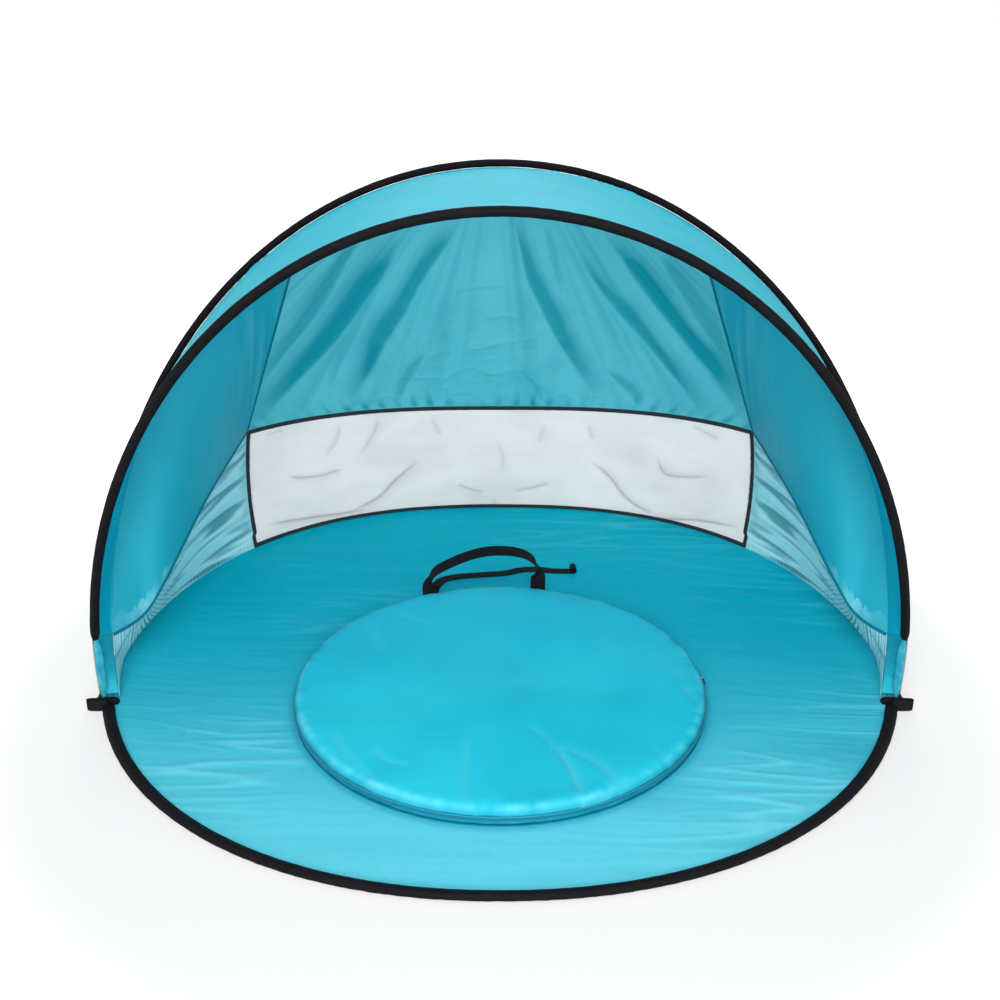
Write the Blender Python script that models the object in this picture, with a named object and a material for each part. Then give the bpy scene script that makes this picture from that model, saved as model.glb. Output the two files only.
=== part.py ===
"""Pop-up play tent: two spring-steel hoops in cloth sleeves, a cloth canopy and floor, and a round carry bag.

The origin is midway between the two side corners, on the ground. X runs across the entrance, Y runs from the
open front to the back, and Z is up. All sizes are in metres and all angles in degrees.
"""
import math
from collections import namedtuple

import bmesh
import bpy
from mathutils import Matrix, Vector

# Clearance between pieces that touch, and half of the slit left at a sewn seam
GAP = 0.0003
SEAM_SLIT = 0.0004
FOLDED_SEAM_SLIT = 0.0011

# Cloth, webbing and tape thicknesses of the solids
CANOPY_CLOTH = 0.0012
FLOOR_CLOTH = 0.0015
BAG_CLOTH = 0.0014
WEBBING = 0.0016
BINDING_TAPE = 0.0012

# The sleeves and the spring wire in them
SLEEVE_RADIUS = 0.006
SLEEVE_WALL = 0.0014
POCKET_RADIUS = 0.007
WIRE_RADIUS = 0.0016
FERRULE_RADIUS = 0.0029
FERRULE_LENGTH = 0.040
TUBE_SIDES = 8
WIRE_SIDES = 6
HOOP_CHORDS = 32

# The two side corners, where the arches turn on one line along X. The hoops lie side by side there.
CORNER_HALF_SPREAD = 0.592
HOOP_PITCH = 0.018
FOLD_LINE_HEIGHT = 0.008
CORNER_ROLL_RADIUS = 0.0062
SLEEVE_START = 0.0085

# How far each half of a hoop reaches from the fold line, and how it leans from the ground behind
FRONT_ARCH_REACH = 0.794
FRONT_ARCH_BELLY = 0.033
FRONT_ARCH_FULLNESS = 1.98
FRONT_ARCH_LEAN = 98.0
REAR_ARCH_REACH = 0.850
REAR_ARCH_LEAN = 60.0
REAR_ARCH_BELLY = 0.238
REAR_FLOOR_REACH = 0.716
REAR_FLOOR_FULLNESS = 2.36
FRONT_FLOOR_SPREAD = 0.014
FRONT_FLOOR_REACH = 0.441
FRONT_FLOOR_BELLY = -0.30
FRONT_FLOOR_FULLNESS = 2.135

# Cloth pockets at the feet of the front arch
POCKET_TOP = 0.120

# Back panel, window and side seams
BACK_PANEL_TOP_HALF_WIDTH = 0.318
WINDOW_HALF_WIDTH = 0.460
WINDOW_RISE_MIDDLE = 0.253
WINDOW_RISE_SIDE = 0.259
WINDOW_LEAN_MIDDLE = 0.096
WINDOW_LEAN_SIDE = 0.056
WINDOW_TOP_NARROWING = 0.011
BINDING_WIDTH = 0.008
WINDOW_COLUMNS = 20
SIDE_SEAM_FOOT = 0.100
SIDE_SEAM_HIGH = (0.495, 0.308, 0.206)
SIDE_SEAM_MIDDLE = (0.538, 0.160, 0.133)
SIDE_SEAM_LOW = (0.567, 0.110, 0.096)
GUSSET_FOOT_BACK = 0.022

# Webbing loops for ground pegs, one at each corner
LOOP_HEIGHT = 0.020
LOOP_LENGTH = 0.019
LOOP_WIDTH = 0.0105
LOOP_BACK = 0.0122
LOOP_ROUND_SIDES = 8

# Carry bag
BAG_RADIUS = 0.316
BAG_BACK = 0.018
BAG_HEIGHT = 0.028
BAG_CROWN = 0.003
BAG_SIDES = 72
ZIP_WIDTH = 0.008
ZIP_THICKNESS = 0.0012
ZIP_FIRST = 10.0
ZIP_LAST = -190.0
SLIDER_LENGTH = 0.011
SLIDER_HEIGHT = 0.007
SLIDER_DEPTH = 0.003
SLIDER_SETBACK = 3.0
PULL_LENGTH = 0.019
PULL_WIDTH = 0.004
PULL_THICKNESS = 0.0012

# Carrying handle and tie strap of the bag
HANDLE_AZIMUTH = 95.2
HANDLE_HALF_SPAN = 0.094
HANDLE_WIDTH = 0.026
HANDLE_TAB_DROP = 0.016
HANDLE_FOLD_ROOM = 0.002
HANDLE_TWIST_RISE = 0.033
HANDLE_ROUTE = (
    (-0.0940, 0.000),
    (-0.0945, 0.010),
    (-0.0935, 0.021),
    (-0.0900, 0.031),
    (-0.0820, 0.040),
    (-0.0680, 0.048),
    (-0.0500, 0.0565),
    (-0.0310, 0.064),
    (-0.0100, 0.070),
    (0.0120, 0.073),
    (0.0340, 0.0725),
    (0.0560, 0.069),
    (0.0740, 0.062),
    (0.0870, 0.051),
    (0.0925, 0.037),
    (0.0940, 0.023),
    (0.0945, 0.011),
    (0.0940, 0.000),
)
TIE_STRAP_WIDTH = 0.020
TIE_STRAP_END_RADIUS = 0.0065
TIE_STRAP_ROUTE = (
    (-0.118, 0.341),
    (-0.117, 0.372),
    (-0.105, 0.400),
    (-0.080, 0.414),
    (-0.034, 0.422),
    (0.008, 0.428),
    (0.040, 0.441),
    (0.070, 0.443),
    (0.095, 0.437),
    (0.126, 0.436),
)

Hoop = namedtuple("Hoop", "corner reach belly fullness lean height")
HOOP_A = CORNER_HALF_SPREAD
FRONT_FLOOR = Hoop(
    HOOP_A + FRONT_FLOOR_SPREAD,
    FRONT_FLOOR_REACH,
    FRONT_FLOOR_BELLY,
    FRONT_FLOOR_FULLNESS,
    180.0,
    SLEEVE_RADIUS,
)
REAR_ARCH = Hoop(HOOP_A, REAR_ARCH_REACH, REAR_ARCH_BELLY, 2.0, REAR_ARCH_LEAN, FOLD_LINE_HEIGHT)
FRONT_ARCH = Hoop(
    HOOP_A + HOOP_PITCH,
    FRONT_ARCH_REACH,
    FRONT_ARCH_BELLY,
    FRONT_ARCH_FULLNESS,
    FRONT_ARCH_LEAN,
    FOLD_LINE_HEIGHT,
)
REAR_FLOOR = Hoop(
    HOOP_A + 2 * HOOP_PITCH, REAR_FLOOR_REACH, 0.0, REAR_FLOOR_FULLNESS, 0.0, SLEEVE_RADIUS
)

CLOTH_BLUE = (0.045, 0.49, 0.61)
DEEP_TEAL = (0.02, 0.36, 0.46)
PALE_BLUE = (0.20, 0.60, 0.68)
SLEEVE_BLACK = (0.020, 0.018, 0.022)
WINDOW_GREY = (0.74, 0.74, 0.75)
STEEL_GREY = (0.55, 0.55, 0.57)


def clear_scene():
    for thing in list(bpy.data.objects):
        bpy.data.objects.remove(thing)


def material(name, colour, roughness, metallic=0.0):
    """The named material, made once."""
    found = bpy.data.materials.get(name)
    if found:
        return found
    made = bpy.data.materials.new(name)
    made.use_nodes = True
    shader = made.node_tree.nodes["Principled BSDF"]
    shader.inputs["Base Color"].default_value = (*colour, 1.0)
    shader.inputs["Roughness"].default_value = roughness
    shader.inputs["Metallic"].default_value = metallic
    return made


def canopy_cloth():
    return material("canopy_cloth", CLOTH_BLUE, 0.55)


def side_cloth():
    return material("side_cloth", DEEP_TEAL, 0.55)


def gusset_cloth():
    return material("gusset_cloth", PALE_BLUE, 0.55)


def floor_cloth():
    return material("floor_cloth", CLOTH_BLUE, 0.45)


def bag_cloth():
    return material("bag_cloth", CLOTH_BLUE, 0.5)


def sleeve_cloth():
    return material("sleeve_cloth", SLEEVE_BLACK, 0.8)


def webbing():
    return material("webbing", SLEEVE_BLACK, 0.75)


def window_film():
    return material("window_film", WINDOW_GREY, 0.4)


def spring_steel():
    return material("spring_steel", STEEL_GREY, 0.35, 1.0)


def zip_nylon():
    return material("zip_nylon", DEEP_TEAL, 0.4)


def to_object(name, bm, finish, recalculate=True):
    """The bmesh as a named object with one material."""
    if recalculate:
        bmesh.ops.recalc_face_normals(bm, faces=bm.faces)
    mesh = bpy.data.meshes.new(name)
    bm.to_mesh(mesh)
    bm.free()
    mesh.materials.append(finish)
    mesh.shade_smooth()
    mesh.set_sharp_from_angle(angle=math.radians(35))
    thing = bpy.data.objects.new(name, mesh)
    bpy.context.scene.collection.objects.link(thing)
    return thing


def hang_on(thing, pivot):
    """Parents a moving piece to the empty on its joint, with its origin there, and leaves it where it is."""
    thing.data.transform(Matrix.Translation(-pivot.location))
    thing.parent = pivot


def pivot(name, location):
    empty = bpy.data.objects.new(name, None)
    empty.location = location
    bpy.context.scene.collection.objects.link(empty)
    return empty


def signed_power(base, exponent):
    return math.copysign(abs(base) ** exponent, base)


def curve_point(hoop, share):
    """A point on a hoop's true curve, at a share of the way from the left corner, 0, to the right one, 1.

    In its own plane the hoop is an oval about a point belly from the fold line, so that it swells past the
    corners, or stops short of a half turn where the belly is negative.
    """
    power = 2.0 / hoop.fullness
    half_width = hoop.corner / (1.0 - abs(hoop.belly) ** hoop.fullness) ** (1.0 / hoop.fullness)
    depth = hoop.reach / (1.0 + hoop.belly)
    first = -math.asin(signed_power(hoop.belly, 1.0 / power))
    turn = first + (math.pi - 2.0 * first) * share
    across = -half_width * signed_power(math.cos(turn), power)
    out = depth * (hoop.belly + signed_power(math.sin(turn), power))
    lean = math.radians(hoop.lean)
    return Vector((across, out * math.cos(lean), hoop.height + out * math.sin(lean)))


def hoop_point(hoop, share):
    """A point on the row of equal chords that stand for a hoop's curve, so that all its pieces agree."""
    place = min(max(share, 0.0), 1.0) * HOOP_CHORDS
    index = min(int(place), HOOP_CHORDS - 1)
    near = curve_point(hoop, index / HOOP_CHORDS)
    far = curve_point(hoop, (index + 1) / HOOP_CHORDS)
    return near.lerp(far, place - index)


def plane_normal(hoop):
    lean = math.radians(hoop.lean)
    return Vector((0.0, -math.sin(lean), math.cos(lean)))


def reach_at(hoop, share):
    """Distance of a hoop's point from the fold line."""
    point = hoop_point(hoop, share) - Vector((0.0, 0.0, hoop.height))
    return math.hypot(point.y, point.z)


def bisect(low, high, too_low):
    """The value between low and high where too_low stops being true."""
    for _ in range(50):
        middle = (low + high) / 2.0
        if too_low(middle):
            low = middle
        else:
            high = middle
    return (low + high) / 2.0


def share_at_reach(hoop, distance):
    """The share, on the left side, where a hoop is that far from the fold line."""
    return bisect(0.0, 0.5, lambda share: reach_at(hoop, share) < distance)


def share_at_half_width(hoop, half_width):
    """The share, on the left side above its widest place, where a hoop is that far from the middle."""
    return bisect(0.12, 0.5, lambda share: -hoop_point(hoop, share).x > half_width)


def tangent(hoop, share):
    step = 1e-4
    return (hoop_point(hoop, share + step) - hoop_point(hoop, share - step)).normalized()


def outward(hoop, share):
    """Away from the inside of the hoop, in its plane."""
    return plane_normal(hoop).cross(tangent(hoop, share))


def off_tube(hoop, share, toward, clearance):
    """The point at that clearance from a hoop's middle line, square to the hoop, on the side of another point."""
    centre = hoop_point(hoop, share)
    along = tangent(hoop, share)
    aim = toward - centre
    aim -= along * aim.dot(along)
    return centre + aim.normalized() * clearance


def chord_shares(first, last):
    """The shares of the chord ends between two others, with those two."""
    inner = [i / HOOP_CHORDS for i in range(HOOP_CHORDS + 1)]
    margin = 0.1 / HOOP_CHORDS
    return [first, *[share for share in inner if first + margin < share < last - margin], last]


def smooth_route(points, share):
    """A point on the smooth curve through a few points, from 0 to 1."""
    last = len(points) - 1
    place = min(max(share, 0.0), 1.0) * last
    index = min(int(place), last - 1)
    t = place - index
    p0 = points[max(index - 1, 0)]
    p1 = points[index]
    p2 = points[index + 1]
    p3 = points[min(index + 2, last)]
    bend = (2.0 * p0 - 5.0 * p1 + 4.0 * p2 - p3) * t * t
    twist = (3.0 * p1 - p0 - 3.0 * p2 + p3) * t * t * t
    return 0.5 * (2.0 * p1 + (p2 - p0) * t + bend + twist)


def ring(bm, hoop, share, offset, radius, sides):
    """A ring of points round a hoop, its middle a little outward of the hoop's own middle line."""
    out = outward(hoop, share)
    centre = hoop_point(hoop, share) + out * offset
    side = plane_normal(hoop)
    made = []
    for i in range(sides):
        turn = 2.0 * math.pi * i / sides
        made.append(bm.verts.new(centre + out * math.cos(turn) * radius + side * math.sin(turn) * radius))
    return made


def skin(bm, near, far):
    """A band of faces between two rings of as many points."""
    for i in range(len(near)):
        j = (i + 1) % len(near)
        bm.faces.new((near[i], near[j], far[j], far[i]))


def tube(name, hoop, first, last, offset, radius, bore, finish):
    """A hollow tube round a stretch of a hoop, open at both ends."""
    bm = bmesh.new()
    shares = chord_shares(first, last)
    outer = [ring(bm, hoop, share, offset, radius, TUBE_SIDES) for share in shares]
    inner = [ring(bm, hoop, share, offset, bore, TUBE_SIDES) for share in shares]
    for rings in (outer, inner):
        for near, far in zip(rings, rings[1:]):
            skin(bm, near, far)
    skin(bm, outer[0], inner[0])
    skin(bm, outer[-1], inner[-1])
    return to_object(name, bm, finish)


def sprung_offset(radius):
    """How far the sprung wire, or the ferrule on it, lies out from the middle of a sleeve's bore."""
    flat = (SLEEVE_RADIUS - SLEEVE_WALL) * math.cos(math.pi / TUBE_SIDES)
    return flat - radius - GAP


def wire(name, hoop, first, last, offset):
    """Round spring wire along a stretch of a hoop, pressed outwards in its sleeve."""
    bm = bmesh.new()
    shares = chord_shares(first, last)
    rings = [ring(bm, hoop, share, offset, WIRE_RADIUS, WIRE_SIDES) for share in shares]
    for near, far in zip(rings, rings[1:]):
        skin(bm, near, far)
    bm.faces.new(rings[0])
    bm.faces.new(rings[-1])
    return to_object(name, bm, spring_steel())


def ferrule(name, hoop, offset):
    """The crimped steel tube that joins a hoop's two wire ends, at the middle of its floor half."""
    half = FERRULE_LENGTH / 2.0
    end = bisect(0.5, 0.6, lambda share: hoop_point(hoop, share).x < half)
    bore = (WIRE_RADIUS + GAP) / math.cos(math.pi / TUBE_SIDES)
    return tube(name, hoop, 1.0 - end, end, offset, FERRULE_RADIUS, bore, spring_steel())


def sheet(name, point, columns, rows, thickness, finish):
    """A cloth panel: a grid whose places come from point(across, down), each from 0 to 1, given its thickness."""
    bm = bmesh.new()
    bmesh.ops.create_grid(bm, x_segments=columns, y_segments=rows, size=0.5)
    for vert in bm.verts:
        vert.co = point(vert.co.x + 0.5, vert.co.y + 0.5)
    thing = to_object(name, bm, finish, recalculate=False)
    shell = thing.modifiers.new("thickness", "SOLIDIFY")
    shell.thickness = thickness
    shell.offset = 0.0
    shell.use_even_offset = True
    return thing


def mirrored(point):
    """The same panel on the right side, drawn the other way so that it faces the same way."""

    def right(across, down):
        left = point(1.0 - across, down)
        return Vector((-left.x, left.y, left.z))

    return right


def between(start, end, share, slit_start=0.0, slit_end=0.0):
    """A point on the straight line between two others, with a slit kept free at each end."""
    along = (end - start).normalized()
    start = start + along * slit_start
    end = end - along * slit_end
    return start.lerp(end, share)


# The floor line, where the walls meet the floor inside the rear floor sleeve

WALL_FOOT_HEIGHT = FLOOR_CLOTH + GAP + CANOPY_CLOTH / 2.0
WALL_FOOT_INSET = SLEEVE_RADIUS + GAP + CANOPY_CLOTH / 2.0


def floor_line(share):
    place = hoop_point(REAR_FLOOR, share) - outward(REAR_FLOOR, share) * WALL_FOOT_INSET
    return Vector((place.x, place.y, WALL_FOOT_HEIGHT))


def window_corner_share():
    return bisect(0.1, 0.5, lambda share: -floor_line(share).x > WINDOW_HALF_WIDTH)


WINDOW_FIRST = window_corner_share()


def window_foot(across):
    return floor_line(WINDOW_FIRST + (1.0 - 2.0 * WINDOW_FIRST) * across)


def window_head(across):
    """The line where the window is sewn to the back panel, at the height of the strip's top edge."""
    foot = window_foot(across)
    side = (foot.x / WINDOW_HALF_WIDTH) ** 2
    lean = WINDOW_LEAN_MIDDLE + (WINDOW_LEAN_SIDE - WINDOW_LEAN_MIDDLE) * side
    rise = WINDOW_RISE_MIDDLE + (WINDOW_RISE_SIDE - WINDOW_RISE_MIDDLE) * side
    narrowing = 1.0 - WINDOW_TOP_NARROWING / WINDOW_HALF_WIDTH
    return Vector((foot.x * narrowing, foot.y - lean, foot.z + rise))


def narrowed(across, length, slit):
    """A share moved in from both ends, so that a panel of that length leaves a slit beside its neighbours."""
    inset = slit / length
    return inset + (1.0 - 2.0 * inset) * across


def window_point(across, down):
    inner = narrowed(across, 2.0 * WINDOW_HALF_WIDTH, SEAM_SLIT)
    low = window_foot(inner)
    high = window_head(inner)
    return between(high, low, down, SEAM_SLIT, 0.0)


BACK_PANEL_FIRST = share_at_half_width(REAR_ARCH, BACK_PANEL_TOP_HALF_WIDTH)
TUBE_CLEARANCE = SLEEVE_RADIUS + GAP
SHEET_CLEARANCE = TUBE_CLEARANCE + CANOPY_CLOTH / 2.0


def back_point(across, down):
    inner = narrowed(across, 2.0 * BACK_PANEL_TOP_HALF_WIDTH, FOLDED_SEAM_SLIT)
    low = window_head(inner)
    share = BACK_PANEL_FIRST + (1.0 - 2.0 * BACK_PANEL_FIRST) * inner
    high = off_tube(REAR_ARCH, share, low, SHEET_CLEARANCE)
    return between(high, low, down, 0.0, SEAM_SLIT)


# The side seam runs from the window's upper corner forward and down to the foot of the rear arch

SEAM_FOOT_SHARE = share_at_reach(REAR_ARCH, SIDE_SEAM_FOOT)
SIDE_PANEL_FOOT_SHARE = share_at_reach(REAR_ARCH, SIDE_SEAM_FOOT + 0.025)


def seam_foot():
    inside = hoop_point(REAR_ARCH, SEAM_FOOT_SHARE) - outward(REAR_ARCH, SEAM_FOOT_SHARE)
    return off_tube(REAR_ARCH, SEAM_FOOT_SHARE, inside, SHEET_CLEARANCE)


def left(place):
    return Vector((-place[0], place[1], place[2]))


SIDE_SEAM = [
    window_head(0.0),
    left(SIDE_SEAM_HIGH),
    left(SIDE_SEAM_MIDDLE),
    left(SIDE_SEAM_LOW),
    seam_foot(),
]


SIDE_PANEL_LENGTH = (SIDE_SEAM[0] - SIDE_SEAM[-1]).length


def side_point(along, down):
    """Side panel, left: along the rear arch from the back panel's edge to the foot, and down to the side seam."""
    moved = along + (1.0 - along) * FOLDED_SEAM_SLIT / SIDE_PANEL_LENGTH
    low = smooth_route(SIDE_SEAM, moved)
    share = BACK_PANEL_FIRST + (SIDE_PANEL_FOOT_SHARE - BACK_PANEL_FIRST) * moved
    high = off_tube(REAR_ARCH, share, low, SHEET_CLEARANCE)
    return between(high, low, down, 0.0, FOLDED_SEAM_SLIT)


def gusset_foot(along):
    """The lower edge of the left gusset: on the floor, from the window's corner to beside the arch's foot."""
    first = WINDOW_FIRST
    last = share_at_reach(REAR_FLOOR, GUSSET_FOOT_BACK)
    place = floor_line(first + (last - first) * along)
    foot = hoop_point(REAR_ARCH, 0.0)
    pull = along**12
    place.x += (foot.x - place.x) * pull
    return place


def gusset_point(along, down):
    """Lower side gusset, left: hangs from the side seam down to the floor line."""
    moved = along + (1.0 - along) * SEAM_SLIT / SIDE_PANEL_LENGTH
    high = smooth_route(SIDE_SEAM, moved)
    return between(high, gusset_foot(moved), down, FOLDED_SEAM_SLIT, 0.0)


def corner_point(up, back):
    """Corner gusset, left: between the front arch's pocket and the rear arch's foot."""
    front_share = share_at_reach(FRONT_ARCH, 0.016 + (POCKET_TOP - 0.018) * up)
    rear_share = share_at_reach(REAR_ARCH, 0.016 + (SIDE_SEAM_FOOT - 0.018) * up)
    rear = off_tube(REAR_ARCH, rear_share, hoop_point(FRONT_ARCH, front_share), SHEET_CLEARANCE)
    front = off_tube(FRONT_ARCH, front_share, rear, POCKET_RADIUS + GAP)
    return between(front, rear, back)


BAND_FRONT_FIRST = share_at_reach(FRONT_ARCH, POCKET_TOP + 0.001)
BAND_REAR_FIRST = share_at_reach(REAR_ARCH, SIDE_SEAM_FOOT + 0.001)


def band_point(across, back):
    """Roof band: from the front arch back to the rear arch, over the whole width."""
    front_share = BAND_FRONT_FIRST + (1.0 - 2.0 * BAND_FRONT_FIRST) * across
    rear_share = BAND_REAR_FIRST + (1.0 - 2.0 * BAND_REAR_FIRST) * across
    rear = off_tube(REAR_ARCH, rear_share, hoop_point(FRONT_ARCH, front_share), SHEET_CLEARANCE)
    front = off_tube(FRONT_ARCH, front_share, rear, SHEET_CLEARANCE)
    return between(front, rear, back)


def wall_inward(across):
    """Towards the inside of the tent, square to the window."""
    step = 0.5 / WINDOW_COLUMNS
    after = min(across + step, 1.0)
    before = max(across - step, 0.0)
    run = window_foot(after) - window_foot(before) + window_head(after) - window_head(before)
    rise = window_head(across) - window_foot(across)
    return run.cross(rise).normalized()


BINDING_STANDOFF = CANOPY_CLOTH / 2.0 + GAP + BINDING_TAPE / 2.0


def head_binding_point(across, down):
    high = window_head(across)
    rise = (high - window_foot(across)).normalized()
    return high - rise * BINDING_WIDTH * down + wall_inward(across) * BINDING_STANDOFF


def foot_binding_point(across, down):
    low = window_foot(across)
    rise = (window_head(across) - low).normalized()
    return low + rise * BINDING_WIDTH * (1.0 - down) + wall_inward(across) * BINDING_STANDOFF


def side_binding_point(across, down):
    """Binding down the window's left side, between the head and foot bindings, on the first column of it."""
    first = 1.0 / WINDOW_COLUMNS
    share = BINDING_WIDTH / (window_foot(first) - window_foot(0.0)).length * across
    low = window_foot(0.0).lerp(window_foot(first), share)
    high = window_head(0.0).lerp(window_head(first), share)
    inset = BINDING_WIDTH + GAP
    return between(high, low, down, inset, inset) + wall_inward(first / 2.0) * BINDING_STANDOFF


def make_floor_sheet():
    """The groundsheet: cut to lie just inside the floor sleeves, and flat on the ground."""
    level = SLEEVE_RADIUS - FLOOR_CLOTH
    inset = math.sqrt(TUBE_CLEARANCE**2 - level**2)
    bm = bmesh.new()
    edges = []
    for hoop in (FRONT_FLOOR, REAR_FLOOR):
        first = share_at_reach(hoop, SLEEVE_START)
        shares = chord_shares(first, 1.0 - first)
        edges.append([hoop_point(hoop, share) - outward(hoop, share) * inset for share in shares])
    outline = edges[0] + edges[1][::-1]
    face = bm.faces.new([bm.verts.new((place.x, place.y, 0.0)) for place in outline])
    raise_faces(bm, [face], FLOOR_CLOTH)
    return to_object("floor_sheet", bm, floor_cloth())


def raise_faces(bm, faces, height):
    """Gives flat faces their thickness, upwards."""
    made = bmesh.ops.extrude_face_region(bm, geom=faces)
    top = [part for part in made["geom"] if isinstance(part, bmesh.types.BMVert)]
    bmesh.ops.translate(bm, verts=top, vec=(0.0, 0.0, height))


def make_hoops():
    """The two sprung hoops in their sleeves, each in a half that lies on the floor and a half that stands."""
    made = []
    bore = SLEEVE_RADIUS - SLEEVE_WALL
    for name, hoop, thickest in (
        ("front_floor", FRONT_FLOOR, FERRULE_RADIUS),
        ("rear_floor", REAR_FLOOR, FERRULE_RADIUS),
        ("rear_arch", REAR_ARCH, WIRE_RADIUS),
        ("front_arch", FRONT_ARCH, WIRE_RADIUS),
    ):
        start = share_at_reach(hoop, SLEEVE_START)
        offset = sprung_offset(thickest)
        made.append(wire(name + "_wire", hoop, start, 1.0 - start, offset))
        first = share_at_reach(hoop, POCKET_TOP) if hoop is FRONT_ARCH else start
        finish = sleeve_cloth()
        made.append(tube(name + "_sleeve", hoop, first, 1.0 - first, 0.0, SLEEVE_RADIUS, bore, finish))
    ferrule("front_floor_ferrule", FRONT_FLOOR, sprung_offset(FERRULE_RADIUS))
    ferrule("rear_floor_ferrule", REAR_FLOOR, sprung_offset(FERRULE_RADIUS))
    return [piece for piece in made if "arch" in piece.name]


def make_arch_pockets():
    """Cloth pockets that hold the feet of the front arch at the two corners."""
    first = share_at_reach(FRONT_ARCH, SLEEVE_START)
    last = share_at_reach(FRONT_ARCH, POCKET_TOP) - GAP
    bore = SLEEVE_RADIUS - SLEEVE_WALL
    finish = gusset_cloth()
    return [
        tube("left_arch_pocket", FRONT_ARCH, first, last, 0.0, POCKET_RADIUS, bore, finish),
        tube("right_arch_pocket", FRONT_ARCH, 1.0 - last, 1.0 - first, 0.0, POCKET_RADIUS, bore, finish),
    ]


def make_corner_roll(name, side):
    """The rolled, sewn cloth on the fold line that ties the four sleeve ends of one corner together."""
    bm = bmesh.new()
    near = HOOP_A - SLEEVE_RADIUS
    far = HOOP_A + 2.0 * HOOP_PITCH + SLEEVE_RADIUS
    matrix = Matrix.Translation((side * (near + far) / 2.0, 0.0, FOLD_LINE_HEIGHT))
    matrix = matrix @ Matrix.Rotation(math.radians(90.0), 4, "Y")
    bmesh.ops.create_cone(
        bm,
        cap_ends=True,
        segments=12,
        radius1=CORNER_ROLL_RADIUS,
        radius2=CORNER_ROLL_RADIUS,
        depth=far - near,
        matrix=matrix,
    )
    return to_object(name, bm, sleeve_cloth())


def make_wall():
    """The back panel with its window and bindings, the side panels and the lower gussets."""
    sheet("back_panel", back_point, 18, 4, CANOPY_CLOTH, canopy_cloth())
    sheet("window_panel", window_point, WINDOW_COLUMNS, 2, CANOPY_CLOTH, window_film())
    sheet("window_binding_top", head_binding_point, WINDOW_COLUMNS, 1, BINDING_TAPE, webbing())
    sheet("window_binding_bottom", foot_binding_point, WINDOW_COLUMNS, 1, BINDING_TAPE, webbing())
    sheet("window_binding_left", side_binding_point, 1, 2, BINDING_TAPE, webbing())
    sheet("window_binding_right", mirrored(side_binding_point), 1, 2, BINDING_TAPE, webbing())
    sheet("left_side_panel", side_point, 16, 5, CANOPY_CLOTH, side_cloth())
    sheet("right_side_panel", mirrored(side_point), 16, 5, CANOPY_CLOTH, side_cloth())
    sheet("left_lower_gusset", gusset_point, 16, 4, CANOPY_CLOTH, gusset_cloth())
    sheet("right_lower_gusset", mirrored(gusset_point), 16, 4, CANOPY_CLOTH, gusset_cloth())


def make_roof():
    """The roof band between the arches, and the small gussets under its two ends."""
    return [
        sheet("roof_band", band_point, 36, 3, CANOPY_CLOTH, canopy_cloth()),
        sheet("left_corner_gusset", corner_point, 6, 1, CANOPY_CLOTH, gusset_cloth()),
        sheet("right_corner_gusset", mirrored(corner_point), 6, 1, CANOPY_CLOTH, gusset_cloth()),
    ]


def make_peg_loop(name, side):
    """A loop of webbing standing on its edge, sewn to the outside of the front floor sleeve by a corner."""
    share = share_at_reach(FRONT_FLOOR, LOOP_BACK)
    out = outward(FRONT_FLOOR, share)
    root = hoop_point(FRONT_FLOOR, share) + out * TUBE_CLEARANCE
    along = tangent(FRONT_FLOOR, share)
    sideways = Vector((-1.0, 0.0, 0.0))
    half = LOOP_WIDTH / 2.0
    straight = LOOP_LENGTH - half
    outline = [(0.0, half)]
    inner = [(WEBBING, half - WEBBING)]
    for i in range(LOOP_ROUND_SIDES + 1):
        turn = math.pi * (0.5 - i / LOOP_ROUND_SIDES)
        outline.append((straight + half * math.cos(turn), half * math.sin(turn)))
        less = half - WEBBING
        inner.append((straight + less * math.cos(turn), less * math.sin(turn)))
    outline.append((0.0, -half))
    inner.append((WEBBING, WEBBING - half))
    bm = bmesh.new()
    rings = []
    for route in (outline, inner):
        places = [root + sideways * far + along * wide for far, wide in route]
        rings.append([bm.verts.new((-side * place.x, place.y, 0.0)) for place in places])
    skin(bm, *rings)
    raise_faces(bm, bm.faces[:], LOOP_HEIGHT)
    return to_object(name, bm, webbing())


# The carry bag, a flat drum of cloth lying on the groundsheet

BAG_CENTRE = Vector((0.0, BAG_BACK, FLOOR_CLOTH + GAP))
BAND_TOP = BAG_HEIGHT - BAG_CLOTH - GAP


def turned(name, profile, finish, sides=BAG_SIDES, first=0.0, sweep=360.0):
    """A shape turned about the bag's middle from a closed outline of (radius, height) points."""
    bm = bmesh.new()
    start = Matrix.Rotation(math.radians(first), 4, "Z")
    verts = [bm.verts.new(start @ Vector((radius, 0.0, height))) for radius, height in profile]
    edges = [bm.edges.new((a, b)) for a, b in zip(verts, verts[1:] + verts[:1])]
    whole = abs(sweep) >= 360.0
    geometry = verts + edges
    if not whole:
        geometry.append(bm.faces.new(verts))
    bmesh.ops.spin(
        bm,
        geom=geometry,
        axis=(0.0, 0.0, 1.0),
        cent=(0.0, 0.0, 0.0),
        angle=math.radians(sweep),
        steps=sides,
        use_merge=whole,
    )
    bmesh.ops.remove_doubles(bm, verts=bm.verts, dist=1e-6)
    bmesh.ops.translate(bm, verts=bm.verts, vec=BAG_CENTRE)
    return to_object(name, bm, finish)


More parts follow.
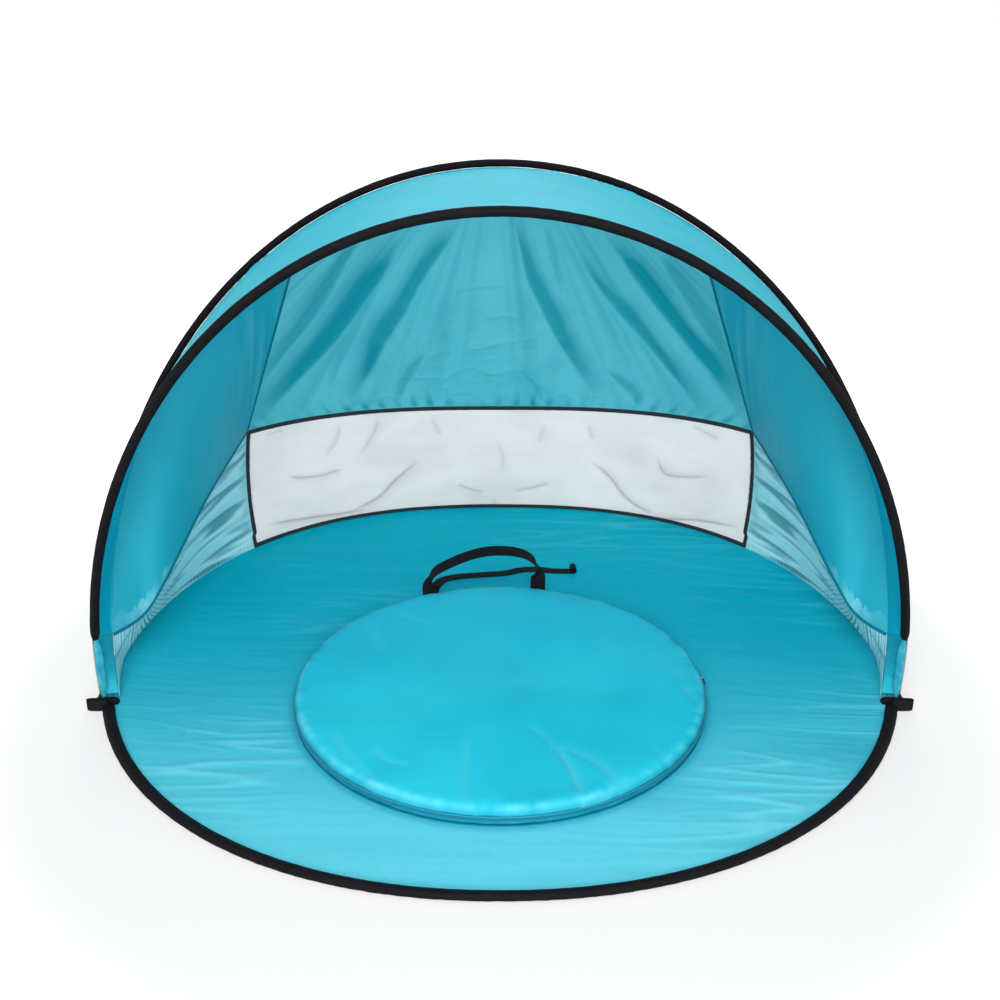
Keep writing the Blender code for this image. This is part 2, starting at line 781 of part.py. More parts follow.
def disc(name, radius, low, crown, finish):
    """A round cloth panel, raised in the middle by its crown."""
    bm = bmesh.new()
    bmesh.ops.create_circle(bm, cap_ends=True, cap_tris=crown > 0.0, segments=BAG_SIDES, radius=radius)
    if crown > 0.0:
        spokes = [edge for edge in bm.edges if any(vert.co.length < 1e-6 for vert in edge.verts)]
        bmesh.ops.subdivide_edges(bm, edges=spokes, cuts=1)
        for vert in bm.verts:
            share = min(vert.co.length / radius, 1.0)
            vert.co.z = crown * (1.0 - share * share)
    raise_faces(bm, bm.faces[:], BAG_CLOTH)
    bmesh.ops.translate(bm, verts=bm.verts, vec=BAG_CENTRE + Vector((0.0, 0.0, low)))
    return to_object(name, bm, finish)


def make_bag_shell():
    """Bottom and top panels, and the side band between them."""
    inner = BAG_RADIUS - BAG_CLOTH
    foot = BAG_CLOTH + GAP
    band = [(inner, foot), (BAG_RADIUS, foot), (BAG_RADIUS, BAND_TOP), (inner, BAND_TOP)]
    return [
        disc("bag_bottom_panel", BAG_RADIUS, 0.0, 0.0, bag_cloth()),
        disc("bag_top_panel", BAG_RADIUS, BAG_HEIGHT - BAG_CLOTH, BAG_CROWN, bag_cloth()),
        turned("bag_side_band", band, bag_cloth()),
    ]


ZIP_MIDDLE = BAG_HEIGHT * 0.42


def make_bag_zip():
    """The zip round the front of the side band, shut, with its slider at the rear right."""
    inner = BAG_RADIUS + GAP
    low = ZIP_MIDDLE - ZIP_WIDTH / 2.0
    high = ZIP_MIDDLE + ZIP_WIDTH / 2.0
    outer = inner + ZIP_THICKNESS
    outline = [(inner, low), (outer, low), (outer, high), (inner, high)]
    return turned("bag_zip", outline, zip_nylon(), 40, ZIP_FIRST, ZIP_LAST - ZIP_FIRST)


def box(bm, low, high, matrix):
    size = Vector(high) - Vector(low)
    middle = (Vector(low) + Vector(high)) / 2.0
    place = matrix @ Matrix.Translation(middle) @ Matrix.Diagonal((*size, 1.0))
    return bmesh.ops.create_cube(bm, size=1.0, matrix=place)


SLIDER_FACE = BAG_RADIUS + GAP + ZIP_THICKNESS + GAP
PULL_MIDDLE = SLIDER_FACE + SLIDER_DEPTH + GAP + PULL_THICKNESS / 2.0


def slider_place():
    """The middle of the bag at the zip's height, turned so that X points at the parked slider."""
    middle = Matrix.Translation(BAG_CENTRE + Vector((0.0, 0.0, ZIP_MIDDLE)))
    return middle @ Matrix.Rotation(math.radians(ZIP_FIRST - SLIDER_SETBACK), 4, "Z")


def make_zip_slider():
    """The slider riding on the zip."""
    half = Vector((0.0, SLIDER_LENGTH / 2.0, SLIDER_HEIGHT / 2.0))
    face = Vector((SLIDER_FACE, 0.0, 0.0))
    back = Vector((SLIDER_FACE + SLIDER_DEPTH, 0.0, 0.0))
    bm = bmesh.new()
    box(bm, face - half, back + half, slider_place())
    chamfer = SLIDER_DEPTH * 0.25
    bmesh.ops.bevel(bm, geom=bm.edges[:], offset=chamfer, affect="EDGES", segments=1, profile=0.5)
    return to_object("zip_slider", bm, spring_steel())


def make_zip_pull():
    """The pull on the slider's outer face, lying back along the zip from its pin."""
    low = Vector((PULL_MIDDLE - PULL_THICKNESS / 2.0, -PULL_LENGTH, -PULL_WIDTH / 2.0))
    high = Vector((PULL_MIDDLE + PULL_THICKNESS / 2.0, PULL_THICKNESS * 0.4, PULL_WIDTH / 2.0))
    bm = bmesh.new()
    box(bm, low, high, slider_place())
    return to_object("zip_pull", bm, spring_steel())


def ribbon(name, places, widths, finish, thickness=WEBBING):
    """Flat webbing along a route: each place with the direction and half width of the strap there."""
    bm = bmesh.new()
    rows = []
    for index, (place, wide) in enumerate(zip(places, widths)):
        before = places[max(index - 1, 0)]
        after = places[min(index + 1, len(places) - 1)]
        along = (after - before).normalized()
        wide = wide - along * wide.dot(along)
        thick = along.cross(wide).normalized() * thickness / 2.0
        corners = (place + wide + thick, place - wide + thick, place - wide - thick, place + wide - thick)
        rows.append([bm.verts.new(corner) for corner in corners])
    for near, far in zip(rows, rows[1:]):
        for i in range(4):
            j = (i + 1) % 4
            bm.faces.new((near[i], near[j], far[j], far[i]))
    bm.faces.new(rows[0])
    bm.faces.new(rows[-1])
    return to_object(name, bm, finish)


HANDLE_LINE_HEIGHT = BAG_CENTRE.z + BAG_HEIGHT - 0.002


def handle_frame():
    """The middle of the line between the handle's two feet, behind the bag's rear rim, and its direction."""
    turn = math.radians(HANDLE_AZIMUTH)
    out = Vector((math.cos(turn), math.sin(turn), 0.0))
    across = Vector((math.sin(turn), -math.cos(turn), 0.0))
    radius = BAG_RADIUS + GAP + WEBBING / 2.0
    chord = math.sqrt(radius**2 - HANDLE_HALF_SPAN**2)
    middle = Vector((0.0, BAG_BACK, 0.0)) + out * (chord + 0.004)
    middle.z = HANDLE_LINE_HEIGHT
    return middle, across, out


def make_handle():
    """The swinging part of the carrying handle, a strap that twists a quarter turn above each foot."""
    middle, across, out = handle_frame()
    points = [Vector((x, z, 0.0)) for x, z in HANDLE_ROUTE]
    places = []
    widths = []
    steps = 56
    for i in range(steps + 1):
        flat = smooth_route(points, i / steps)
        place = middle + across * flat.x + Vector((0.0, 0.0, flat.y))
        twist = min(flat.y / HANDLE_TWIST_RISE, 1.0) * math.pi / 2.0
        if flat.x > 0.0:
            twist = math.pi - twist
        wide = across * math.cos(twist) + out * math.sin(twist)
        places.append(place)
        widths.append(wide * HANDLE_WIDTH / 2.0)
    return ribbon("bag_handle", places, widths, webbing())


def make_handle_tab(name, side):
    """One sewn end of the handle, flat on the outside of the bag's side band."""
    bm = bmesh.new()
    middle, across, _ = handle_frame()
    foot = middle + across * HANDLE_HALF_SPAN * side
    spoke = Vector((foot.x, foot.y - BAG_BACK, 0.0))
    turn = Matrix.Translation(Vector((0.0, BAG_BACK, 0.0)))
    turn = turn @ Matrix.Rotation(math.atan2(spoke.y, spoke.x), 4, "Z")
    near = BAG_RADIUS + GAP
    top = HANDLE_LINE_HEIGHT - HANDLE_FOLD_ROOM
    half = HANDLE_WIDTH / 2.0
    box(bm, (near, -half, top - HANDLE_TAB_DROP), (near + WEBBING, half, top), turn)
    return to_object(name, bm, webbing())


def make_tie_strap():
    """The strap that ties the folded tent, lying on the groundsheet behind the bag with its end rolled up."""
    points = [Vector((x, y, 0.0)) for x, y in TIE_STRAP_ROUTE]
    level = FLOOR_CLOTH + GAP + WEBBING / 2.0
    places = []
    widths = []
    steps = 24
    for i in range(steps + 1):
        place = smooth_route(points, i / steps)
        place.z = level
        before = smooth_route(points, max(i - 1, 0) / steps)
        after = smooth_route(points, min(i + 1, steps) / steps)
        along = (after - before).normalized()
        places.append(place)
        widths.append(along.cross(Vector((0.0, 0.0, 1.0))) * TIE_STRAP_WIDTH / 2.0)
    strap = ribbon("bag_tie_strap", places, widths, webbing())
    bm = bmesh.new()
    along = (places[-1] - places[-2]).normalized()
    across = along.cross(Vector((0.0, 0.0, 1.0)))
    centre = places[-1] + along * (TIE_STRAP_END_RADIUS + GAP)
    centre.z = FLOOR_CLOTH + GAP + TIE_STRAP_END_RADIUS
    matrix = Matrix((along, Vector((0.0, 0.0, 1.0)), across)).transposed().to_4x4()
    matrix.translation = centre
    bmesh.ops.create_cone(
        bm,
        cap_ends=True,
        segments=12,
        radius1=TIE_STRAP_END_RADIUS,
        radius2=TIE_STRAP_END_RADIUS,
        depth=TIE_STRAP_WIDTH,
        matrix=matrix,
    )
    roll = to_object("tie_strap_roll", bm, webbing())
    return strap, roll


def build():
    clear_scene()
    fold_line = pivot("fold_line", (0.0, 0.0, FOLD_LINE_HEIGHT))
    bag_middle = pivot("bag_middle", BAG_CENTRE)
    handle_line = pivot("handle_line", handle_frame()[0])
    pull_pin = pivot("pull_pin", slider_place() @ Vector((PULL_MIDDLE, 0.0, 0.0)))
    make_floor_sheet()
    moving = make_hoops()
    moving += make_arch_pockets()
    make_corner_roll("left_corner_roll", -1.0)
    make_corner_roll("right_corner_roll", 1.0)
    make_wall()
    moving += make_roof()
    for piece in moving:
        hang_on(piece, fold_line)
    make_peg_loop("left_peg_loop", -1.0)
    make_peg_loop("right_peg_loop", 1.0)
    bag = make_bag_shell()
    bag.append(make_bag_zip())
    bag.append(make_zip_slider())
    bag.append(make_handle_tab("left_handle_tab", -1.0))
    bag.append(make_handle_tab("right_handle_tab", 1.0))
    bag.extend(make_tie_strap())
    for piece in bag:
        hang_on(piece, bag_middle)
    hang_on(make_handle(), handle_line)
    hang_on(make_zip_pull(), pull_pin)


build()
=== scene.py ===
import math
from collections import namedtuple

import bmesh
import bpy
import numpy as np
from mathutils import Matrix, Vector


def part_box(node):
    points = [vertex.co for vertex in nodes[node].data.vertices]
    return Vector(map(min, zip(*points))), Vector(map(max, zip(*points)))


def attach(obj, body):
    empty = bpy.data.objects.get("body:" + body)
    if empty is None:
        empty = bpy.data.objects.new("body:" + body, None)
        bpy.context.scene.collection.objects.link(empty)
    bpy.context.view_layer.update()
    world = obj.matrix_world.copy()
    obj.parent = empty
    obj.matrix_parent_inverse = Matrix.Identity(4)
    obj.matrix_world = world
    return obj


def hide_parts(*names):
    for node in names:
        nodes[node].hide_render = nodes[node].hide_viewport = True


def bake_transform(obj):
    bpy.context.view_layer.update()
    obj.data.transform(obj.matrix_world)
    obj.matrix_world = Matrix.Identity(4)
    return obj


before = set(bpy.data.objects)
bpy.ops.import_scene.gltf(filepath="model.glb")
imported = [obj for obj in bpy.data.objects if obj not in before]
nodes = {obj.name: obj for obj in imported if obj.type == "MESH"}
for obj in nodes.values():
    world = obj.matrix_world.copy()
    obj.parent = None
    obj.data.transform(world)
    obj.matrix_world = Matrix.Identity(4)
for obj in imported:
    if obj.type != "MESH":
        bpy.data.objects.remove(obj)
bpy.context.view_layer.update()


# The photographer stands in front of the entrance and looks down into the tent from a little above it.
# The camera's height, slope and lens come from the outlines of the four hoop halves.
CAMERA_PLACE = (0.0, -1.8244, 1.2)
CAMERA_SLOPE = math.radians(65.0)
CAMERA_LENS = 50.4

camera_data = bpy.data.cameras.new("camera")
camera_data.lens = CAMERA_LENS
camera_data.sensor_width = 36.0
camera = bpy.data.objects.new("camera", camera_data)
camera.location = CAMERA_PLACE
camera.rotation_euler = (CAMERA_SLOPE, 0.0, 0.0)
bpy.context.scene.collection.objects.link(camera)
bpy.context.scene.camera = camera
bpy.context.scene.view_settings.view_transform = "Standard"


class Value:
    """A number, colour or vector in a finish, so that shader maths reads as plain sums."""

    def __init__(self, finish, socket):
        self.finish = finish
        self.socket = socket

    def math(self, operation, first, second):
        return self.finish.node("ShaderNodeMath", {"operation": operation}, {0: first, 1: second})

    def __add__(self, other):
        return self.math("ADD", self, other)

    __radd__ = __add__

    def __sub__(self, other):
        return self.math("SUBTRACT", self, other)

    def __rsub__(self, other):
        return self.math("SUBTRACT", other, self)

    def __mul__(self, other):
        return self.math("MULTIPLY", self, other)

    __rmul__ = __mul__

    def __pow__(self, other):
        return self.math("POWER", self, other)


class Finish:
    """One material with a Principled shader, and the nodes that feed it."""

    def __init__(self, name, **constants):
        self.material = bpy.data.materials.new(name)
        self.material.use_nodes = True
        self.tree = self.material.node_tree
        self.shader = self.tree.nodes["Principled BSDF"]
        self.output = self.tree.nodes["Material Output"]
        for socket, value in constants.items():
            self.shader.inputs[socket.replace("_", " ")].default_value = value

    def node(self, kind, settings=None, sockets=None, out=0):
        """Any node: its settings first, then the values or links of its sockets."""
        made = self.tree.nodes.new(kind)
        for name, value in (settings or {}).items():
            if name == "stops":
                for stop, (place, colour) in zip(made.color_ramp.elements, value):
                    stop.position = place
                    stop.color = colour
            else:
                setattr(made, name, value)
        for name, value in (sockets or {}).items():
            if isinstance(value, Value):
                self.tree.links.new(value.socket, made.inputs[name])
            else:
                made.inputs[name].default_value = value
        return Value(self, made.outputs[out])

    def mark(self, name):
        """A value painted on the mesh, from 0 to 1."""
        return self.node("ShaderNodeAttribute", {"attribute_name": name}, out=2)

    def cloth_place(self):
        """Place on the cloth in metres, along and across its threads."""
        return self.node("ShaderNodeUVMap", {"uv_map": "cloth"})

    def body_place(self):
        return self.node("ShaderNodeTexCoord", out=3)

    def stretched(self, place, scale):
        return self.node("ShaderNodeMapping", {}, {"Vector": place, "Scale": scale})

    def speckle(self, place, scale, detail=2.0, roughness=0.5):
        sockets = {"Vector": place, "Scale": scale, "Detail": detail, "Roughness": roughness}
        return self.node("ShaderNodeTexNoise", {}, sockets)

    def clamped(self, value, low, high):
        """0 below low, 1 above high, and smooth between."""
        settings = {"interpolation_type": "SMOOTHSTEP"}
        return self.node("ShaderNodeMapRange", settings, {"Value": value, "From Min": low, "From Max": high})

    def tinted(self, share, first, second, blend="MIX"):
        """A colour between two others."""
        settings = {"data_type": "RGBA", "blend_type": blend}
        return self.node("ShaderNodeMix", settings, {0: share, 6: first, 7: second}, out=2)

    def ribs(self, place, direction, scale):
        """Even ribs or threads across one direction."""
        sockets = {"Vector": place, "Scale": scale}
        return self.node("ShaderNodeTexWave", {"bands_direction": direction}, sockets)

    def feed(self, socket, value):
        self.tree.links.new(value.socket, self.shader.inputs[socket])

    def colour(self, share, first, second):
        self.feed("Base Color", self.tinted(share, first, second))

    def bump(self, height, distance, strength=1.0):
        sockets = {"Height": height, "Distance": distance, "Strength": strength}
        self.feed("Normal", self.node("ShaderNodeBump", {}, sockets))

    def lit_through(self, share, colour):
        """Thin cloth or film: that share of the light passes through it, in that colour."""
        own = Value(self, self.shader.outputs[0])
        through = self.node("ShaderNodeBsdfTranslucent", {}, {"Color": colour})
        mixed = self.node("ShaderNodeMixShader", {}, {0: share, 1: own, 2: through})
        self.tree.links.new(mixed.socket, self.output.inputs["Surface"])


def rgb(red, green, blue):
    """A screen colour, 0 to 255, as the light it stands for."""
    linear = [c / 12.92 if c <= 0.04045 else ((c + 0.055) / 1.055) ** 2.4
              for c in (red / 255.0, green / 255.0, blue / 255.0)]
    return (*linear, 1.0)


# The studio: a pale sheet of paper under the tent, soft light all round, and three broad lamps: high in
# front, low before the entrance, and behind. The paper shows white and keeps the tent's soft shadow.
PAPER_HALF_SIZE = 6.0
PAPER_DROP = 0.0012
PAPER_GLOW = 0.52
PAPER_GREY = (0.36, 0.36, 0.36, 1.0)
GLOW_STARTS, GLOW_FULL = 0.66, 1.2
SKY_LIGHT = 0.50

paper = bmesh.new()
bmesh.ops.create_grid(paper, x_segments=1, y_segments=1, size=PAPER_HALF_SIZE,
                      matrix=Matrix.Translation((0.0, 0.0, -PAPER_DROP)))
paper_mesh = bpy.data.meshes.new("studio_paper")
paper.to_mesh(paper_mesh)
paper.free()
paper_sheet = bpy.data.objects.new("studio_paper", paper_mesh)
bpy.context.scene.collection.objects.link(paper_sheet)


def seen_directly(finish):
    """1 for what the camera sees straight, in a mirror or through glass, and 0 for light on the tent."""
    path = [finish.node("ShaderNodeLightPath", out=name) for name in
            ("Is Camera Ray", "Is Glossy Ray", "Is Transmission Ray")]
    return finish.node("ShaderNodeClamp", {}, {0: path[0] + path[1] + path[2]})


paper_finish = Finish("studio_paper", Base_Color=PAPER_GREY, Roughness=1.0, Emission_Strength=1.0)
from_tent = paper_finish.node("ShaderNodeVectorMath", {"operation": "LENGTH"},
                              {0: paper_finish.body_place()}, out=1)
distant = paper_finish.clamped(from_tent, GLOW_STARTS, GLOW_FULL)
paper_finish.feed("Emission Color", seen_directly(paper_finish) * (PAPER_GLOW + (1.0 - PAPER_GLOW) * distant))
paper_mesh.materials.append(paper_finish.material)

world = bpy.data.worlds.new("studio")
bpy.context.scene.world = world
world.use_nodes = True
sky = Finish.__new__(Finish)
sky.tree = world.node_tree
background = world.node_tree.nodes["Background"]
background.inputs["Color"].default_value = (1.0, 1.0, 1.0, 1.0)
direct = seen_directly(sky)
world.node_tree.links.new((SKY_LIGHT + direct * (1.0 - SKY_LIGHT)).socket, background.inputs["Strength"])


def lamp(name, place, target, size, power):
    data = bpy.data.lights.new(name, "AREA")
    data.shape = "DISK"
    data.size = size
    data.energy = power
    thing = bpy.data.objects.new(name, data)
    thing.location = place
    thing.rotation_euler = (Vector(target) - Vector(place)).to_track_quat("-Z", "Y").to_euler()
    bpy.context.scene.collection.objects.link(thing)


lamp("high_lamp", (-0.3, -2.6, 2.9), (0.0, 0.2, 0.1), 1.8, 70.0)
lamp("entrance_lamp", (0.1, -3.2, 1.05), (0.0, 0.4, 0.35), 1.9, 90.0)
lamp("rear_lamp", (0.0, 3.0, 2.6), (0.0, 0.3, 0.3), 2.4, 46.0)


# The two sprung hoops. Each is a loop of flat-drawn spring steel in a sewn cloth sleeve: one half lies round
# the floor and the other stands up as an arch. The hoop halves are ovals that meet at the two side corners.
CORNER_HALF_SPREAD = 0.592
HOOP_PITCH = 0.018
SLEEVE_RADIUS = 0.006
FOLD_LINE_HEIGHT = 0.008
SLEEVE_START = 0.0085
POCKET_TOP = 0.120
SLEEVE_BLACK = rgb(9, 9, 13)
SLEEVE_WORN = rgb(27, 26, 32)
THREAD_WHITE = rgb(224, 226, 228)

Hoop = namedtuple("Hoop", "corner reach belly fullness lean height tuck")
FRONT_FLOOR = Hoop(CORNER_HALF_SPREAD + 0.014, 0.441, -0.30, 2.135, 180.0, SLEEVE_RADIUS, 0.0)
REAR_ARCH = Hoop(CORNER_HALF_SPREAD, 0.850, 0.238, 2.0, 60.0, FOLD_LINE_HEIGHT, 0.0)
FRONT_ARCH = Hoop(CORNER_HALF_SPREAD + HOOP_PITCH, 0.794, 0.033, 1.98, 98.0, FOLD_LINE_HEIGHT, 0.0)
REAR_FLOOR = Hoop(CORNER_HALF_SPREAD + 2.0 * HOOP_PITCH, 0.716, 0.0, 2.36, 0.0, SLEEVE_RADIUS, 0.011)


def signed_power(base, exponent):
    return np.sign(base) * np.abs(base) ** exponent


def smooth_step(value, low, high):
    t = capped((np.asarray(value, float) - low) / (high - low))
    return t * t * (3.0 - 2.0 * t)


def oval(hoop):
    """The exponent, half width and depth of a hoop's oval, and the turn where it leaves the left corner."""
    power = 2.0 / hoop.fullness
    half_width = hoop.corner / (1.0 - abs(hoop.belly) ** hoop.fullness) ** (1.0 / hoop.fullness)
    depth = hoop.reach / (1.0 + hoop.belly)
    first = -math.asin(float(signed_power(hoop.belly, 1.0 / power)))
    return power, half_width, depth, first


def along_hoop(hoop, share):
    """Points on a hoop, at shares of the way from the left corner, 0, to the right one, 1."""
    power, half_width, depth, first = oval(hoop)
    turn = first + (math.pi - 2.0 * first) * np.asarray(share, float)
    across = -half_width * signed_power(np.cos(turn), power)
    out = depth * (hoop.belly + signed_power(np.sin(turn), power))
    across = across - np.sign(across) * hoop.tuck * (1.0 - smooth_step(out, 0.0, 0.16))
    lean = math.radians(hoop.lean)
    return np.stack([across, out * math.cos(lean), hoop.height + out * math.sin(lean)], -1)


def share_at_reach(hoop, distance):
    """The share, on the left side, where a hoop is that far from the fold line."""
    power, _, depth, first = oval(hoop)
    turn = math.asin(float(signed_power(distance / depth - hoop.belly, 1.0 / power)))
    return (turn - first) / (math.pi - 2.0 * first)


def share_at_half_width(hoop, distance):
    power, half_width, _, first = oval(hoop)
    turn = math.acos(float(signed_power(distance / half_width, 1.0 / power)))
    return (turn - first) / (math.pi - 2.0 * first)


def unit(vectors):
    return vectors / np.linalg.norm(vectors, axis=-1, keepdims=True)


def square_to(run, vectors):
    """Vectors without the part of them that points along a run."""
    return vectors - run * np.sum(vectors * run, -1, keepdims=True)


def plane_normal(hoop):
    lean = math.radians(hoop.lean)
    return np.array([0.0, -math.sin(lean), math.cos(lean)])


def hoop_run(hoop, share):
    step = 1e-4
    return unit(along_hoop(hoop, np.asarray(share) + step) - along_hoop(hoop, np.asarray(share) - step))


def outward(hoop, share):
    """Away from the inside of the hoop, in its plane."""
    return np.cross(plane_normal(hoop), hoop_run(hoop, share))


def off_tube(hoop, share, toward, clearance):
    """Points at that clearance from a hoop's middle line, on the side of other points."""
    centre = along_hoop(hoop, share)
    return centre + unit(square_to(hoop_run(hoop, share), toward - centre)) * clearance


def beside_hoop(hoop, share, reach, height):
    """Points beside a hoop's middle line: outward in its plane, and square to it."""
    in_plane = outward(hoop, share) * reach[:, None]
    return along_hoop(hoop, share) + in_plane + plane_normal(hoop) * height[:, None]


SLOPES = np.random.default_rng(5).normal(size=(4096, 3))
SLOPES /= np.linalg.norm(SLOPES, axis=1, keepdims=True)


def rumple(places, scale, seed=0.0):
    """Smooth unevenness from -1 to 1 at each place. The scale is a number or one for each direction."""
    moved = np.asarray(places, float) * np.asarray(scale) + seed
    if moved.shape[-1] == 2:
        moved = np.concatenate([moved, np.full(moved.shape[:-1] + (1,), seed * 0.37)], -1)
    cell = np.floor(moved).astype(np.int64)
    inside = moved - cell
    ease = inside**3 * (inside * (inside * 6.0 - 15.0) + 10.0)
    total = np.zeros(moved.shape[:-1])
    for corner in np.ndindex(2, 2, 2):
        point = cell + corner
        pick = (point[..., 0] * 73856093) ^ (point[..., 1] * 19349663) ^ (point[..., 2] * 83492791)
        weight = np.prod(np.where(corner, ease, 1.0 - ease), axis=-1)
        total += weight * np.sum(SLOPES[(pick >> 3) % 4096] * (inside - corner), -1)
    return total * 1.5


def rumple_flat(across, down, seed):
    """The same unevenness at places on a flat cloth."""
    return rumple(np.stack(np.broadcast_arrays(across, down), -1), 1.0, seed)


def capped(value):
    """No less than 0 and no more than 1."""
    return np.clip(value, 0.0, 1.0)


def to_piece(name, bm, finish):
    mesh = bpy.data.meshes.new(name)
    bm.to_mesh(mesh)
    bm.free()
    mesh.materials.append(finish.material)
    mesh.shade_smooth()
    thing = bpy.data.objects.new(name, mesh)
    bpy.context.scene.collection.objects.link(thing)
    return thing


def fresh_grid(columns, rows):
    """A grid, and where each of its points lies across it and down it, from 0 to 1."""
    bm = bmesh.new()
    bmesh.ops.create_grid(bm, x_segments=columns, y_segments=rows, size=0.5)
    corners = np.array([vert.co for vert in bm.verts])
    return bm, corners[:, 0] + 0.5, corners[:, 1] + 0.5


def move(bm, places):
    for vert, place in zip(bm.verts, places):
        vert.co = place


def tube(name, columns, rows, shape, finish, layout=None):
    """A closed tube. shape(along, turn) gives its points, and layout(...) their places on the flat cloth."""
    bm, along, around = fresh_grid(columns, rows)
    turn = 2.0 * math.pi * around
    move(bm, shape(along, turn))
    if layout:
        flat = layout(along, turn)
        layer = bm.loops.layers.uv.new("cloth")
        for face in bm.faces:
            for loop in face.loops:
                loop[layer].uv = flat[loop.vert.index]
    bmesh.ops.remove_doubles(bm, verts=bm.verts, dist=1e-6)
    rims = [edge for edge in bm.edges if edge.is_boundary]
    bmesh.ops.holes_fill(bm, edges=rims, sides=0)
    bmesh.ops.recalc_face_normals(bm, faces=bm.faces)
    return to_piece(name, bm, finish)


def stand_in(piece, node, follow):
    """The piece takes a solid's place, which is hidden, and rides on a body, or has its place baked in by
    follow.
    """
    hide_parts(node)
    if callable(follow):
        follow(piece)
    else:
        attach(piece, follow)


def sleeve(name, hoop, start, wide, deep, lip, taper):
    """A cloth sleeve pulled over the hoop's wire: round outside, and sewn into a flat lip inside."""
    first = share_at_reach(hoop, start)
    last = 1.0 - first

    def shape(along, turn):
        share = first + (last - first) * along
        inner = np.maximum(-np.cos(turn), 0.0)
        wave = np.stack([share * 110.0, np.cos(turn) * 0.8, np.sin(turn) * 0.8], -1)
        puckered = 0.985 + (rumple(wave, 1.0, 3.1) * 0.05 + rumple(wave, (2.7, 1.0, 1.0), 7.7) * 0.035)
        ends = 1.0 - taper * (1.0 - smooth_step(np.minimum(along, 1.0 - along), 0.0, 0.014))
        reach = (wide * puckered * np.cos(turn) - lip * inner**3) * ends
        height = deep * puckered * np.sin(turn) * (1.0 - 0.72 * inner**2 * min(lip / 0.002, 1.0)) * ends
        return beside_hoop(hoop, share, reach, height)

    return tube(name, 420, 18, shape, black_sleeve)


def sleeve_cloth():
    """Black woven cloth, a little grey in patches where it is worn."""
    finish = Finish("sleeve_cloth", Roughness=0.78, Specular_IOR_Level=0.12)
    place = finish.body_place()
    threads = finish.speckle(place, 900.0, 1.0)
    patches = finish.speckle(place, 26.0, 4.0, 0.65)
    wear = finish.clamped(patches, 0.46, 0.78) * 0.45 + finish.clamped(threads, 0.45, 0.75) * 0.2
    finish.colour(wear, SLEEVE_BLACK, SLEEVE_WORN)
    finish.feed("Roughness", 0.66 + patches * 0.2)
    finish.bump(threads * 0.5 + patches, 0.0006)
    return finish


def thread(name, colour):
    """Polyester sewing thread, with its twist."""
    finish = Finish(name, Roughness=0.6)
    twist = finish.speckle(finish.body_place(), 1400.0, 0.0)
    finish.colour(twist * 0.5, colour, rgb(60, 64, 70))
    return finish


def stitches(name, places, normals, pitch, length, thickness, finish):
    """A row of machine stitches along a line of close points, each a small flat bead."""
    steps = np.linalg.norm(np.diff(places, axis=0), axis=1)
    run = np.concatenate([[0.0], np.cumsum(steps)])
    count = int(run[-1] / pitch)
    bm = bmesh.new()
    for i in range(count):
        at = (i + 0.5) * run[-1] / count
        middle = np.array([np.interp(at, run, places[:, k]) for k in range(3)])
        ahead = np.array([np.interp(at + 0.001, run, places[:, k]) for k in range(3)])
        up = np.array([np.interp(at, run, normals[:, k]) for k in range(3)])
        along = unit(ahead - middle)
        up = unit(up - along * np.dot(up, along))
        beside = np.cross(up, along)
        bead = np.array([along * length / 2.0, beside * thickness, up * thickness * 0.7])
        matrix = Matrix.Translation(middle) @ Matrix(bead.T.tolist()).to_4x4()
        bmesh.ops.create_icosphere(bm, subdivisions=1, radius=1.0, matrix=matrix)
    return to_piece(name, bm, finish)


def follow_front(piece):
    """For what is sewn to the front arch, or lies between the two arches."""
    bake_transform(piece)


def follow_wall(piece):
    """For the walls between the rear arch and the floor."""
    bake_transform(piece)


# Each sleeve's start from the fold line, half width, half height, sewn lip, narrowing at its ends, and body
SLEEVES = (("front_floor", FRONT_FLOOR, SLEEVE_START, 0.0074, 0.0062, 0.0040, 0.0, "floor"),
           ("rear_floor", REAR_FLOOR, SLEEVE_START, 0.0056, 0.0056, 0.0004, 0.0, "floor"),
           ("rear_arch", REAR_ARCH, 0.020, 0.0060, 0.0060, 0.0004, 0.7, "rear_arch"),
           ("front_arch", FRONT_ARCH, 0.104, 0.0061, 0.0060, 0.0022, 0.95, follow_front))
black_sleeve = sleeve_cloth()
for name, *shape, follow in SLEEVES:
    stand_in(sleeve(name + "_cover", *shape), name + "_sleeve", follow)

# White lock stitch along the front of the rear sleeve, where the roof is sewn to it. Each stitch is a bead
# of polyester thread that stands a little proud of the cloth.
seam_first = share_at_reach(REAR_ARCH, 0.13)
seam_shares = np.linspace(seam_first, 1.0 - seam_first, 600)
seam_out = unit(plane_normal(REAR_ARCH) * -1.0 - outward(REAR_ARCH, seam_shares) * 0.35)
seam_places = along_hoop(REAR_ARCH, seam_shares) + seam_out * 0.0062
rear_stitches = stitches("rear_arch_stitching", seam_places, seam_out, pitch=0.0085, length=0.0050,
                         thickness=0.0006, finish=thread("white_thread", THREAD_WHITE))
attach(rear_stitches, "rear_arch")

# The wire itself: drawn spring steel, hidden in the sleeves but for glints at the corners.
WIRE_RADIUS = 0.0016


def bare_metal(name, scale, roughness, pale, dark):
    """Metal with fine marks from drawing or casting, a little duller and darker in them."""
    finish = Finish(name, Metallic=1.0)
    marks = finish.speckle(finish.body_place(), scale, 4.0, 0.6)
    finish.colour(marks, pale, dark)
    finish.feed("Roughness", roughness + marks * 0.22)
    return finish


def refinish(finish, *names):
    """A new finish for solids that stay."""
    for name in names:
        nodes[name].data.materials.clear()
        nodes[name].data.materials.append(finish.material)


